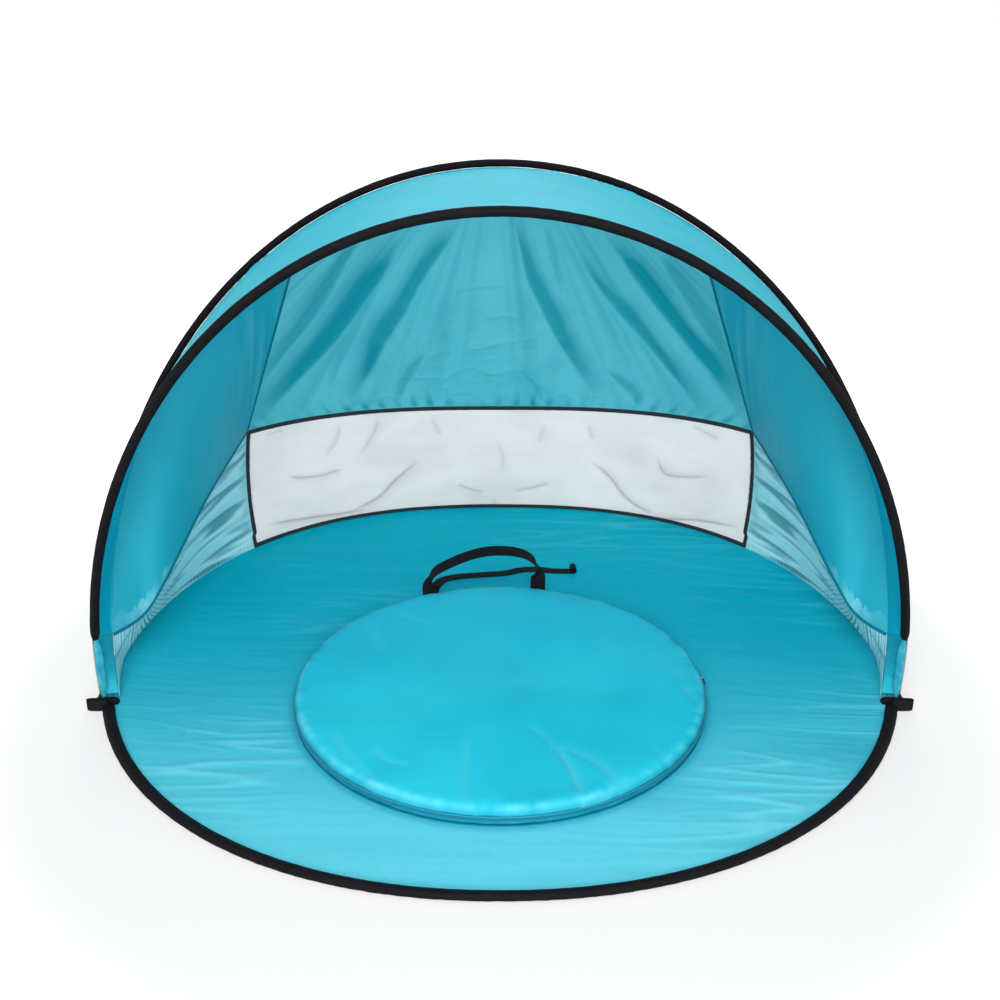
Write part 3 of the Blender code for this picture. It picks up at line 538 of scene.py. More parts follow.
def spring(name, hoop, offset, follow):
    """One half of a hoop's wire, which lies against the outside of its sleeve."""
    def shape(along, turn):
        first = share_at_reach(hoop, SLEEVE_START)
        share = first + (1.0 - 2.0 * first) * along
        return beside_hoop(hoop, share, offset + WIRE_RADIUS * np.cos(turn), WIRE_RADIUS * np.sin(turn))

    stand_in(tube(name + "_spring", 160, 8, shape, steel), name + "_wire", follow)


steel = bare_metal("spring_steel", 360.0, 0.24, rgb(182, 184, 190), rgb(150, 150, 156))
spring("front_floor", FRONT_FLOOR, 0.0014, "floor")
spring("rear_floor", REAR_FLOOR, 0.0014, "floor")
spring("rear_arch", REAR_ARCH, 0.0026, "rear_arch")
spring("front_arch", FRONT_ARCH, 0.0026, follow_front)
refinish(steel, "front_floor_ferrule", "rear_floor_ferrule")


# The cloth of the tent: coated polyester taffeta, thin enough to let light through. Each panel is cut flat
# and sewn to its neighbours. It has a fine plain weave, soft folds from packing, and puckers at every seam.
CLOTH = 0.0008
ROOF_BLUE = rgb(16, 204, 228)
ROOF_DEEP = rgb(8, 192, 217)


def measured(places, columns, rows):
    """Lengths of a panel's longest row and column, and its area, from a grid of its points."""
    grid = places.reshape(rows, columns, 3)
    row = np.linalg.norm(np.diff(grid, axis=1), axis=2).sum(axis=1).max()
    column = np.linalg.norm(np.diff(grid, axis=0), axis=2).sum(axis=0).max()
    first = np.diff(grid, axis=1)[:-1]
    second = np.diff(grid, axis=0)[:, :-1]
    area = np.linalg.norm(np.cross(first, second), axis=2).sum()
    return float(row), float(column), float(area)


def paint(mesh, marks):
    """Write marks on a mesh for its finish to read: fold for painted shade, seam for a paler tint of seam
    allowances and painted highlights.
    """
    for mark, values in marks.items():
        mesh.attributes.new(mark, "FLOAT", "POINT").data.foreach_set("value", values.astype(np.float32))


def panel(name, columns, rows, place, relief, finish, held="stretched", toward=(0.0, 0.1, 0.3)):
    """A sewn cloth panel. place(across, down) gives its points and relief(...) its folds, as heights and
    marks. The heights count toward a point: inside the tent for a wall, and high above it for the roof."""
    spread = np.meshgrid(np.linspace(0.0, 1.0, 41), np.linspace(0.0, 1.0, 41))
    width, height, area = measured(place(spread[0].ravel(), spread[1].ravel()), 41, 41)
    bm, across, down = fresh_grid(columns, rows)
    places = place(across, down)
    if held == "laid":
        width, height = float(np.ptp(places[:, 0])), float(np.ptp(places[:, 1]))
    step = 0.5 / max(columns, rows)
    right, left = place(np.minimum(across + step, 1.0), down), place(np.maximum(across - step, 0.0), down)
    below, above = place(across, np.minimum(down + step, 1.0)), place(across, np.maximum(down - step, 0.0))
    square = np.cross(right - left, below - above)
    square /= np.maximum(np.linalg.norm(square, axis=1, keepdims=True), 1e-12)
    if np.sum(square * (np.array(toward) - places)) < 0.0:
        square = -square
    height_map, marks = relief(across, down, places)
    move(bm, places + square * height_map[:, None])
    piece = to_piece(name, bm, finish)
    mesh = piece.data
    corners = np.zeros(len(mesh.loops), np.int32)
    mesh.loops.foreach_get("vertex_index", corners)
    layout = np.stack([across * width, (1.0 - down) * height], -1)[corners]
    mesh.uv_layers.new(name="cloth").data.foreach_set("uv", layout.astype(np.float32).ravel())
    paint(mesh, marks)
    shell = piece.modifiers.new("thickness", "SOLIDIFY")
    shell.thickness = CLOTH
    shell.offset = 0.0
    return piece


def crease(flat, route, width, inner=0.22, growth=0.5, head=0.02, foot=0.4, seed=0.0):
    """How deep each place lies in a fold along a route: sharp toward the middle, wide and soft outward.
    The route and its width are in millimetres."""
    line = smooth_route(np.array(route) / 1000.0, np.linspace(0.0, 1.0, 13))
    nearest = np.full(len(flat), 1e9)
    beside = np.ones(len(flat))
    along = np.zeros(len(flat))
    for i, (a, b) in enumerate(zip(line, line[1:])):
        run = b - a
        t = capped((flat - a) @ run / (run @ run))
        gap = flat - (a + t[:, None] * run)
        distance = np.linalg.norm(gap, axis=1)
        closer = distance < nearest
        nearest = np.where(closer, distance, nearest)
        beside = np.where(closer, np.sign(run[0] * gap[:, 1] - run[1] * gap[:, 0]), beside)
        along = np.where(closer, (i + t) / (len(line) - 1), along)
    outer = beside * np.sign(line[:, 0].mean()) > 0.0
    uneven = 1.0 + 0.35 * rumple_flat(along * 5.0, seed, seed + 1.7)
    span = width / 1000.0 * (1.0 - growth * 0.5 + growth * along) * uneven
    span = np.where(outer, span, span * inner)
    ends = smooth_step(along, -0.001, head) * smooth_step(1.0 - along, -0.001, foot)
    return np.exp(-((nearest / span) ** 2)) * ends


def smooth_route(points, share):
    """Points on the smooth curve through a few others, at shares of the way from 0 to 1."""
    points = np.asarray(points, float)
    last = len(points) - 1
    place = capped(np.asarray(share, float)) * last
    index = np.minimum(place.astype(int), last - 1)
    t = (place - index)[..., None]
    p0, p1 = points[np.maximum(index - 1, 0)], points[index]
    p2, p3 = points[index + 1], points[np.minimum(index + 2, last)]
    bend = (2.0 * p0 - 5.0 * p1 + 4.0 * p2 - p3) * t * t
    twist = (3.0 * p1 - p0 - 3.0 * p2 + p3) * t * t * t
    return 0.5 * (2.0 * p1 + (p2 - p0) * t + bend + twist)


def between(start, end, share):
    return start + (end - start) * np.asarray(share)[..., None]


def ridged(unevenness, sharpness):
    """Narrow ridges where a smooth unevenness passes through 0."""
    return np.maximum(1.0 - np.abs(unevenness) * sharpness, 0.0)


def edge_gap(across, down, width, height):
    """Rough distance to the nearest edge of a panel of that width and height."""
    return np.minimum(np.minimum(across, 1.0 - across) * width, np.minimum(down, 1.0 - down) * height)


def puckers(run, distance, pitch, length, seed=0.0):
    """Short ripples square to a seam, strongest at it: run is the place along the seam."""
    uneven = rumple_flat(run / (pitch * 2.3), 0.0, seed)
    wave = np.sin(2.0 * math.pi * run / pitch + 2.4 * uneven)
    reach = length * (0.75 + 0.6 * uneven)
    rise = smooth_step(distance, 0.0, 0.35 * length)
    return wave * rise * np.exp(-((distance / np.maximum(reach, 0.2 * length)) ** 2))


def canopy_cloth(name, light, deep, glow=0.2, roughness=0.5, fold_shade=None, pale_tint=None, front=None,
                 gloss=0.3):
    """Coated taffeta in one dye lot: painted shade on its fold mark, where less light also passes through,
    and a paler tint on its seam mark, for seam allowances and for painted highlights.
    """
    finish = Finish(name, Roughness=roughness, Specular_IOR_Level=gloss)
    cloth = finish.cloth_place()
    body = finish.body_place()
    warp = finish.ribs(cloth, "X", 420.0)
    weft = finish.ribs(cloth, "Y", 420.0)
    broad = finish.speckle(body, 5.0, 3.0, 0.6)
    slubs = finish.speckle(finish.stretched(cloth, (1.0, 24.0, 1.0)), 26.0, 3.0, 0.6)
    shade = finish.clamped(broad, 0.3, 0.72) * 0.7 + finish.clamped(slubs, 0.35, 0.75) * 0.2 + warp * 0.1
    colour = finish.tinted(shade, light, deep)
    # Painted light: the colour turns toward the front colour nearer the entrance, and stays darker at the
    # back, where the canopy shades the cloth.
    if front:
        forward = finish.node("ShaderNodeSeparateXYZ", {}, {0: body}, out=1)
        colour = finish.tinted(finish.clamped(0.0 - forward, -0.45, 0.42) ** 1.7, colour, front)
    # Painted shade: darker where the fold mark lies, in folds, hollows and gathers.
    if fold_shade:
        colour = finish.tinted(finish.mark("fold"), colour, fold_shade)
    # A paler tint where the seam mark lies: seam allowances, and painted highlights on ridges.
    if pale_tint:
        colour = finish.tinted(finish.mark("seam"), colour, pale_tint)
    finish.feed("Base Color", colour)
    finish.feed("Roughness", roughness - 0.06 + slubs * 0.12)
    crinkle = finish.speckle(body, 46.0, 6.0, 0.6)
    finish.bump(warp * 0.2 + weft * 0.2 + crinkle * 1.2, 0.0009, 0.45)
    if glow:
        middle = tuple((a + b) / 2.0 for a, b in zip(light, deep))
        finish.lit_through(glow * (1.0 - 0.6 * finish.mark("fold")), middle)
    return finish


# The groundsheet: one piece of coated cloth, cut to the two floor hoops and sewn into their sleeves. It is
# pulled from corner to corner, which draws long flat wrinkles across it, and lies flat under the bag.
FLOOR_CLOTH = 0.0015
FLOOR_MIDDLE = 0.0008
FLOOR_INSET = 0.005
GAP = 0.0003
BAG_RADIUS = 0.316
BAG_BACK = 0.018


def floor_place(across, down):
    front = along_hoop(FRONT_FLOOR, across) - outward(FRONT_FLOOR, across) * FLOOR_INSET
    rear = along_hoop(REAR_FLOOR, across) - outward(REAR_FLOOR, across) * FLOOR_INSET
    place = between(rear, front, down)
    place[..., 2] = FLOOR_MIDDLE
    return place


def floor_relief(across, down, places):
    x, y = places[:, 0], places[:, 1]
    edge = np.minimum(down, 1.0 - down) * 1.1
    bent = y + 0.034 * rumple_flat(x * 2.2, y * 2.6, 19.0) + 0.03 * x * np.abs(x)
    long_wrinkles = rumple_flat(x * 3.0, bent * 26.0, 11.0)
    finer = rumple_flat(x * 5.5, bent * 56.0, 29.0)
    finest = rumple_flat(x * 14.0, bent * 120.0, 23.0)
    ridge = ridged(long_wrinkles, 9.0)
    second = ridged(finer, 7.0)
    patches = smooth_step(rumple_flat(x * 2.4, y * 3.4, 37.0), -0.10, 0.45)
    sides = 0.25 + 0.75 * patches * smooth_step(np.abs(x), 0.05, 0.40)
    lift = sides * (0.0013 * ridge + 0.0006 * second + 0.00025 * finest) + 0.0007 * (long_wrinkles + 0.4)
    lift += 0.0014 * np.maximum(rumple(places[:, :2], 4.0, 39.0), 0.0)
    hem = np.abs(rumple_flat(across * 60.0, down * 3.0, 43.0)) * 0.0016
    from_bag = np.hypot(x, y - BAG_BACK) - BAG_RADIUS
    lift = np.maximum(lift, 0.0) + hem * (1.0 - smooth_step(edge, 0.03, 0.09))
    lift = lift * smooth_step(from_bag, 0.0, 0.035) * smooth_step(edge, 0.0, 0.03)
    tucked = 0.0020 * (1.0 - smooth_step(edge, 0.0, 0.02))
    # Painted highlights along the wrinkle ridges, stronger toward the front, where more light falls; they go
    # in the seam mark.
    nearer = 0.35 + 0.65 * (1.0 - smooth_step(y, -0.30, 0.30))
    streak = capped(ridge * 0.9 + 0.35 * second) * smooth_step(from_bag, 0.0, 0.02)
    streak = streak * patches * nearer
    # Painted shade in the wrinkle troughs, and a painted contact shadow round the bag's foot; they go in the
    # fold mark.
    shade = capped(-long_wrinkles - 0.1) * (0.3 + 0.7 * patches)
    shade = np.maximum(shade, 0.9 * (1.0 - smooth_step(from_bag, 0.0, 0.016)))
    return lift + tucked, {"fold": capped(shade * 0.6), "seam": streak * 0.6}


# The groundsheet: painted light paler toward the front, painted shade in its troughs and round the bag,
# painted highlights on its wrinkles.
floor_finish = canopy_cloth("floor_cloth", rgb(2, 177, 198), rgb(0, 169, 192), glow=0.0, roughness=0.6,
                            gloss=0.05, front=rgb(98, 208, 228), fold_shade=rgb(4, 152, 178),
                            pale_tint=rgb(120, 216, 232))
floor_panel = panel("groundsheet", 300, 240, floor_place, floor_relief, floor_finish, held="laid",
                    toward=(0.0, 0.1, 5.0))
stand_in(floor_panel, "floor_sheet", "floor")


# The rear wall: a strip of frosted film, the window, stands on the floor hoop, edged with black tape. The
# back panel, of the tent's thin cloth, is sewn between the window's top edge and the rear arch.
WALL_FOOT_INSET = 0.0069
WALL_FOOT_HEIGHT = 0.0024
WINDOW_HALF_WIDTH = 0.460
WINDOW_RISE_MIDDLE, WINDOW_RISE_SIDE = 0.253, 0.259
WINDOW_LEAN_MIDDLE, WINDOW_LEAN_SIDE = 0.096, 0.056
WINDOW_TOP_NARROWING = 0.011
BACK_PANEL_TOP_HALF_WIDTH = 0.318
CLOTH_TO_ARCH = 0.0074
INSIDE_TENT = np.array([0.0, 0.15, 0.25])


def floor_line(share):
    place = along_hoop(REAR_FLOOR, share) - outward(REAR_FLOOR, share) * WALL_FOOT_INSET
    place[..., 2] = WALL_FOOT_HEIGHT
    return place


# The window's ends lie where the floor line is as far out as its half width: found by halving the range.
window_first, window_last = 0.1, 0.5
for _ in range(50):
    middle = (window_first + window_last) / 2.0
    if -floor_line(np.array(middle))[0] > WINDOW_HALF_WIDTH:
        window_first = middle
    else:
        window_last = middle


def window_foot(across):
    return floor_line(window_first + (1.0 - 2.0 * window_first) * np.asarray(across))


def window_head(across):
    foot = window_foot(across)
    side = (foot[..., 0] / WINDOW_HALF_WIDTH) ** 2
    lean = WINDOW_LEAN_MIDDLE + (WINDOW_LEAN_SIDE - WINDOW_LEAN_MIDDLE) * side
    rise = WINDOW_RISE_MIDDLE + (WINDOW_RISE_SIDE - WINDOW_RISE_MIDDLE) * side
    narrowing = 1.0 - WINDOW_TOP_NARROWING / WINDOW_HALF_WIDTH
    return np.stack([foot[..., 0] * narrowing, foot[..., 1] - lean, foot[..., 2] + rise], -1)


def window_bow(down):
    """How far the window's ends and the gussets beside them bulge outward between head and foot."""
    return 0.0085 * np.sin(math.pi * capped(down)) ** 0.8


def window_place(across, down):
    place = between(window_head(across), window_foot(across), down)
    place[..., 0] += window_bow(down) * np.clip(2.0 * np.asarray(across) - 1.0, -1.0, 1.0) ** 9
    return place


def rear_arch_line(share):
    """The line inside the rear sleeve where the roof and the walls are sewn together."""
    return off_tube(REAR_ARCH, share, INSIDE_TENT, CLOTH_TO_ARCH)


back_first = share_at_half_width(REAR_ARCH, BACK_PANEL_TOP_HALF_WIDTH)


def back_place(across, down):
    return between(rear_arch_line(back_first + (1.0 - 2.0 * back_first) * across), window_head(across), down)


# Folds that fan out from the top of the back panel, as places (x, z) in millimetres seen from the front, each
# with its width and the darkness of the shade painted along it, and the small crinkles between them.
BACK_FOLDS = (
    (((-150, 642), (-191, 563), (-229, 507), (-286, 427), (-344, 365), (-422, 284), (-440, 262)), 34, 1.00),
    (((-190, 560), (-241, 450), (-284, 370), (-310, 300)), 12, 0.40),
    (((-59, 650), (-87, 607), (-132, 540), (-170, 469), (-205, 413), (-236, 345),
      (-261, 303), (-285, 262)), 26, 0.90),
    (((24, 650), (27, 633), (49, 537), (66, 497), (88, 449), (107, 406),
      (146, 338), (172, 290), (185, 262)), 22, 0.85),
    (((113, 625), (146, 556), (182, 503), (207, 473), (253, 418), (290, 372),
      (329, 325), (362, 280), (375, 262)), 22, 0.85),
    (((150, 650), (203, 584), (229, 548), (273, 489), (332, 415), (377, 365),
      (416, 303), (440, 270)), 28, 1.00),
    (((257, 598), (286, 556), (337, 477), (385, 403), (432, 310)), 22, 0.60),
    (((-228, 618), (-250, 588), (-313, 483), (-389, 390), (-425, 330)), 20, 0.70),
    (((-130, 380), (-168, 320), (-190, 262)), 14, 0.55),
    (((190, 345), (235, 300), (262, 258)), 14, 0.55),
    (((30, 345), (62, 300), (80, 258)), 10, 0.45),
    (((72, 640), (90, 560), (108, 500)), 12, 0.35),
)
BACK_CRINKLES = (
    ((-64, 380), (-21, 393), (37, 405), (79, 411)),
    ((-50, 344), (-7, 331), (30, 340)),
    ((-195, 332), (-152, 325), (-109, 327)),
    ((-96, 281), (-67, 290), (-36, 281)),
    ((-167, 401), (-175, 367), (-192, 314)),
    ((67, 481), (57, 431), (47, 388)),
    ((-35, 448), (7, 456), (49, 448)),
    ((-90, 505), (-40, 515), (20, 520)),
    ((-120, 300), (-80, 335), (-30, 352)),
)


def back_relief(across, down, places):
    flat = places[:, (0, 2)]
    x, z = flat[:, 0], flat[:, 1]
    height, fold = np.zeros((2, len(flat)))
    # Each fold is pressed in and painted darker along it. The crinkles, the hollows of the broad unevenness
    # and the gathers above the window also get painted shade.
    for i, (route, width, dark) in enumerate(BACK_FOLDS):
        shape = crease(flat, route, width * 1.05, head=0.30, foot=0.50, seed=i * 2.0)
        height -= 0.0042 * dark * shape
        fold = np.maximum(fold, np.minimum(shape * 1.6, 1.0) * dark)
    for i, route in enumerate(BACK_CRINKLES):
        thin = crease(flat, route, 3.6, inner=0.8, growth=0.0, head=0.3, foot=0.3, seed=i * 3.0)
        height += 0.0010 * thin
        fold = np.maximum(fold, 0.22 * thin)
    fan = x / (0.85 - z)
    broad = rumple_flat(fan * 9.0, z * 1.6, 2.0)
    finer = rumple_flat(fan * 26.0, z * 3.0, 5.0)
    fine = rumple_flat(x * 34.0 + z * 6.0, z * 30.0, 7.0)
    crinkled = (1.0 - smooth_step(z, 0.36, 0.56)) * (1.0 - smooth_step(np.abs(x), 0.16, 0.36))
    height += 0.0024 * broad + 0.0010 * finer + 0.0008 * ridged(fine, 5.0) * crinkled
    fold = np.maximum(fold, capped(0.06 - broad * 0.55 - finer * 0.40) * 0.8)
    fold = fold + capped(-fine) * 0.35 * crinkled
    up = z - np.interp(np.abs(x), np.linspace(0.0, 0.46, 5), [0.2540, 0.2545, 0.2555, 0.2570, 0.2585])
    gathers = puckers(x - up * x * 1.4 + 1.0, up, 0.031, 0.034, 5.0)
    gathers = gathers * np.clip(0.75 + 1.4 * rumple_flat(x * 9.0, 0.0, 17.0), 0.0, 1.3)
    height += 0.0018 * gathers
    fold = fold + 0.85 * capped(gathers)
    height *= smooth_step(edge_gap(across, down, 0.8, 0.5), 0.0, 0.016)
    return height, {"fold": capped(fold)}


# The back panel's pale colour is painted light, standing for the light that shines through it from behind.
# Its fold colour is painted shade.
back_finish = canopy_cloth("back_panel_cloth", rgb(118, 214, 224), rgb(98, 202, 214), glow=0.3,
                           fold_shade=rgb(6, 152, 170))
back_wall = panel("back_wall", 420, 210, back_place, back_relief, back_finish)
stand_in(back_wall, "back_panel", follow_wall)

# The window's creases, where the film was folded for packing: places (x, z) in millimetres, and the darkness
# of the shade painted along them.
WINDOW_CREASES = (
    (((-397, 141), (-374, 128), (-340, 122), (-314, 125), (-298, 129)), 0.8),
    (((-290, 20), (-239, 45), (-202, 85), (-153, 131)), 1.0),
    (((-443, 44), (-384, 30), (-312, 20), (-251, 21)), 1.0),
    (((-86, 66), (-55, 49), (-32, 43)), 0.7),
    (((24, 43), (64, 55), (102, 68)), 0.7),
    (((-15, 27), (-5, 2)), 0.5),
    (((170, 132), (210, 96), (243, 50), (275, 26), (306, 19)), 1.0),
    (((298, 160), (304, 132), (319, 117), (361, 124), (395, 140)), 0.8),
    (((238, 3), (313, 9), (385, 27), (458, 44)), 1.0),
    (((-266, 154), (-235, 207), (-227, 235)), 0.5),
    (((-127, 230), (-113, 187)), 0.5),
    (((166, 219), (175, 181)), 0.5),
    (((351, 241), (400, 223)), 0.5),
    (((-424, 241), (-391, 243)), 0.4),
    (((-295, 234), (-305, 199), (-326, 166)), 0.5),
    (((-8, 175), (5, 136), (2, 95)), 0.4),
    (((83, 215), (73, 166)), 0.4),
)


def window_relief(across, down, places):
    flat = places[:, (0, 2)]
    height, fold = np.zeros((2, len(flat)))
    for i, (route, dark) in enumerate(WINDOW_CREASES):
        ends = {"growth": 0.2, "head": 0.25, "foot": 0.25, "seed": i * 2.3}
        thin = crease(flat, route, 2.5, inner=0.9, **ends)
        soft = crease(flat, route, 12, inner=0.5, **ends)
        height -= dark * (0.0013 * thin + 0.0007 * soft)
        fold = np.maximum(fold, dark * (0.60 * thin + 0.26 * soft))
    broad = rumple(places, 9.0, 8.0)
    fine = rumple_flat(flat[:, 0] * 22.0, flat[:, 1] * 30.0, 9.0)
    height += 0.0020 * broad + 0.0007 * fine
    # Painted shade in the hollows of the film's unevenness.
    fold = fold + capped(-broad) * 0.16 + capped(-fine) * 0.14
    height *= smooth_step(edge_gap(across, down, 0.92, 0.26), 0.004, 0.02)
    return height, {"fold": capped(fold)}


def frosted_film():
    """Frosted film, milky, with fine scratches, and painted grey shade along its creases and in its hollows.
    """
    finish = Finish("window_film", Roughness=0.36, Specular_IOR_Level=0.5)
    body = finish.body_place()
    cloud = finish.speckle(body, 9.0, 4.0, 0.6)
    scratches = finish.speckle(finish.stretched(finish.cloth_place(), (3.0, 34.0, 1.0)), 40.0, 3.0)
    colour = finish.tinted(finish.clamped(cloud, 0.3, 0.7), rgb(247, 243, 241), rgb(241, 237, 235))
    colour = finish.tinted(finish.mark("fold"), colour, rgb(150, 151, 156))
    finish.feed("Base Color", colour)
    finish.feed("Roughness", 0.30 + scratches * 0.2)
    finish.bump(finish.speckle(body, 60.0, 5.0, 0.6) + scratches * 0.4, 0.0008, 0.5)
    finish.lit_through(0.4, rgb(246, 242, 240))
    return finish


window = panel("window_film", 400, 120, window_place, window_relief, frosted_film())
stand_in(window, "window_panel", follow_wall)


# The tape round the window: black, folded over the film's edge and sewn once. The side tapes run on past the
# foot tape's ends, which leaves a small step at each lower corner.
def up_window(across):
    return unit(window_head(across) - window_foot(across))


def wall_inward(across):
    step = 0.01
    after, before = np.minimum(across + step, 1.0), np.maximum(across - step, 0.0)
    run = window_foot(after) - window_foot(before) + window_head(after) - window_head(before)
    return unit(np.cross(run, window_head(across) - window_foot(across)))


def always(direction):
    """The same direction all along a tape."""
    return lambda share: np.broadcast_to(np.asarray(direction, float), (len(share), 3))


def tape(name, centre, wide, square, steps, finish, width, thick=0.0016, ripple=1.0):
    """Flat tape with round edges. Its middle, its direction across and its face are given along its run."""
    line = centre(np.linspace(0.0, 1.0, 200))
    length = np.linalg.norm(np.diff(line, axis=0), axis=1).sum()

    def uneven(along, turn, share):
        return 1.0 + share * (ripple * rumple_flat(along * steps * 0.35, np.cos(turn), 6.0))

    def layout(along, turn):
        flat = signed_power(np.cos(turn), 0.45) * width / 2.0 * uneven(along, turn, 0.05)
        return np.stack([along * length, flat], -1)

    def shape(along, turn):
        flat = layout(along, turn)[:, 1:]
        deep = signed_power(np.sin(turn), 0.8) * thick * uneven(along, turn, 0.2)
        return centre(along) + wide(along) * flat + square(along) * deep[:, None]

    return tube(name, steps, 16, shape, finish, layout)


def black_tape():
    finish = Finish("black_tape", Roughness=0.7, Specular_IOR_Level=0.3)
    body = finish.body_place()
    ribs = finish.speckle(body, 700.0, 1.0)
    paler_share = finish.clamped(ribs, 0.35, 0.8)
    finish.colour(paler_share, rgb(26, 27, 32), rgb(54, 56, 64))
    finish.bump(ribs, 0.0005)
    return finish


binding = black_tape()
for name, node, edge, other, inset, width in (
        ("top", "top", window_head, window_foot, 0.012, 0.0095),
        ("foot", "bottom", window_foot, window_head, 0.014, 0.0112)):
    level_tape = tape("window_tape_" + name, lambda a: between(edge(a), other(a), inset), up_window,
                      wall_inward, 240, binding, width)
    stand_in(level_tape, "window_binding_" + node, follow_wall)


def side_tape_line(side, inward):
    def line(along):
        step_in = 0.0045 - 0.0045 * smooth_step(along, 0.87, 0.90)
        return window_place(np.full(len(along), side), along) + inward * step_in[:, None]
    return line


for side, name in ((0.0, "left"), (1.0, "right")):
    edge = np.array([side])
    inward = unit(window_foot(np.array([abs(side - 0.01)]))[0] - window_foot(edge)[0])
    side_tape = tape("window_tape_" + name, side_tape_line(side, inward), always(inward),
                     always(wall_inward(edge)[0]), 120, binding, 0.0090)
    stand_in(side_tape, "window_binding_" + name, follow_wall)


# The side panels: smooth, drawn tight between the rear arch and the side seam. Below them a gathered gusset
# closes the wall down to the floor hoop. It lets more light through, and its colour is painted pale for that
# light.
SIDE_SEAM_FOOT = 0.100
GUSSET_FOOT_BACK = 0.022
seam_foot = rear_arch_line(np.array(share_at_reach(REAR_ARCH, SIDE_SEAM_FOOT)))
SIDE_SEAM = (window_head(np.array(0.0)), (-0.495, 0.308, 0.206), (-0.538, 0.160, 0.133),
             (-0.567, 0.110, 0.096), seam_foot)
side_foot = share_at_reach(REAR_ARCH, SIDE_SEAM_FOOT + 0.002)


def side_place(along, down):
    top = rear_arch_line(back_first + (side_foot - back_first) * along)
    return between(top, smooth_route(SIDE_SEAM, along), down)


def gusset_place(along, down):
    last = share_at_reach(REAR_FLOOR, GUSSET_FOOT_BACK)
    foot = floor_line(window_first + (last - window_first) * np.asarray(along))
    foot[..., 0] += (-CORNER_HALF_SPREAD - foot[..., 0]) * np.asarray(along) ** 12
    place = between(smooth_route(SIDE_SEAM, along), foot, down)
    place[..., 0] -= window_bow(down) * (1.0 - smooth_step(along, 0.0, 0.08))
    return place


def side_relief(along, down, places):
    streaks = rumple_flat((along + down * 0.12) * 40.0, down * 1.6, 17.0)
    near_back = (1.0 - smooth_step(along, 0.02, 0.34)) * smooth_step(down, 0.04, 0.30)
    # Painted highlights on the raised streaks near the back.
    pale = capped(streaks * 1.8) * near_back
    height = 0.0013 * streaks * near_back + 0.0016 * rumple(places, 7.0, 31.0)
    billow = 0.006 * np.sin(math.pi * along) * np.sin(math.pi * down)
    run = along * 0.46
    low = (1.0 - down) * np.maximum(0.28 * (1.0 - along), 0.02)
    edge = edge_gap(along, down, 0.4, 0.2)
    steps = rumple_flat(run * 35.0, 0.0, 41.0)
    ragged = 0.010 + 0.005 * steps + 0.003 * rumple_flat(run * 110.0, 0.0, 45.0)
    # The seam allowance, a ragged paler band along the lower seam.
    pale_tint = (1.0 - smooth_step(low, ragged * 0.94, ragged * 1.06)) * smooth_step(along, 0.44, 0.54)
    pale_tint *= 1.0 - 0.7 * smooth_step(along, 0.76, 0.88)
    pale_tint *= np.clip(rumple_flat(run * 26.0, low * 20.0, 43.0) * 1.6 + 0.75, 0.15, 1.0)
    return height * smooth_step(edge, 0.0, 0.02) + billow, {"seam": np.maximum(pale_tint, pale * 0.35)}


def gusset_relief(along, down, places):
    """Soft level folds near the window, fine slanting gathers lower down, and a fan of them at the corner,
    with painted shade in their troughs and painted highlights on their ridges.
    """
    level = places[:, 2]
    across_here = np.maximum((1.0 - along) * 0.21, 0.02)
    sloping = level + 0.12 * (places[:, 0] + WINDOW_HALF_WIDTH)
    lying = rumple_flat(places[:, 1] * 6.0, sloping * 58.0, 51.0)
    ridge = ridged(lying, 4.0)
    turned = along * 0.50 + 0.10 * down * (1.0 - along)
    uneven = rumple_flat(turned * 40.0, down * 1.2, 53.0)
    standing = np.sin(2.0 * math.pi * turned / 0.0115 + 3.0 * uneven)
    steep = smooth_step(along, 0.38, 0.62)
    room = np.clip(1.1 - along, 0.15, 1.0)
    height = (0.0034 * lying + 0.0012 * ridge) * (1.0 - steep) + 0.0026 * standing * steep * room
    fold = capped(-lying * 2.6 - 0.1) * 0.75 * (1.0 - steep)
    fold += capped(-standing * 0.8 + uneven * 0.4) * steep * 0.85
    foot_gap = (1.0 - down) * across_here
    fold += 0.5 * capped(puckers(along * 0.5, foot_gap, 0.010, 0.012, 57.0))
    edge = edge_gap(along, down, 0.5, 0.16)
    hem = np.exp(-(((down * across_here - 0.0085) / 0.0013) ** 2)) * smooth_step(along, 0.05, 0.12)
    height = height * smooth_step(edge, 0.0, 0.012) - 0.0008 * hem
    fold = np.maximum(fold * smooth_step(edge, 0.0, 0.004), hem * 0.8)
    seam = ridge * 0.6 * (1.0 - steep) + capped(standing) * 0.5 * steep
    return height, {"fold": capped(fold), "seam": capped(seam)}


def mirrored(place):
    def right(across, down):
        other = place(1.0 - np.asarray(across), down).copy()
        other[..., 0] *= -1.0
        return other
    return right


def turned_about(relief):
    def right(across, down, places):
        flipped = places.copy()
        flipped[:, 0] *= -1.0
        return relief(1.0 - across, down, flipped)
    return right


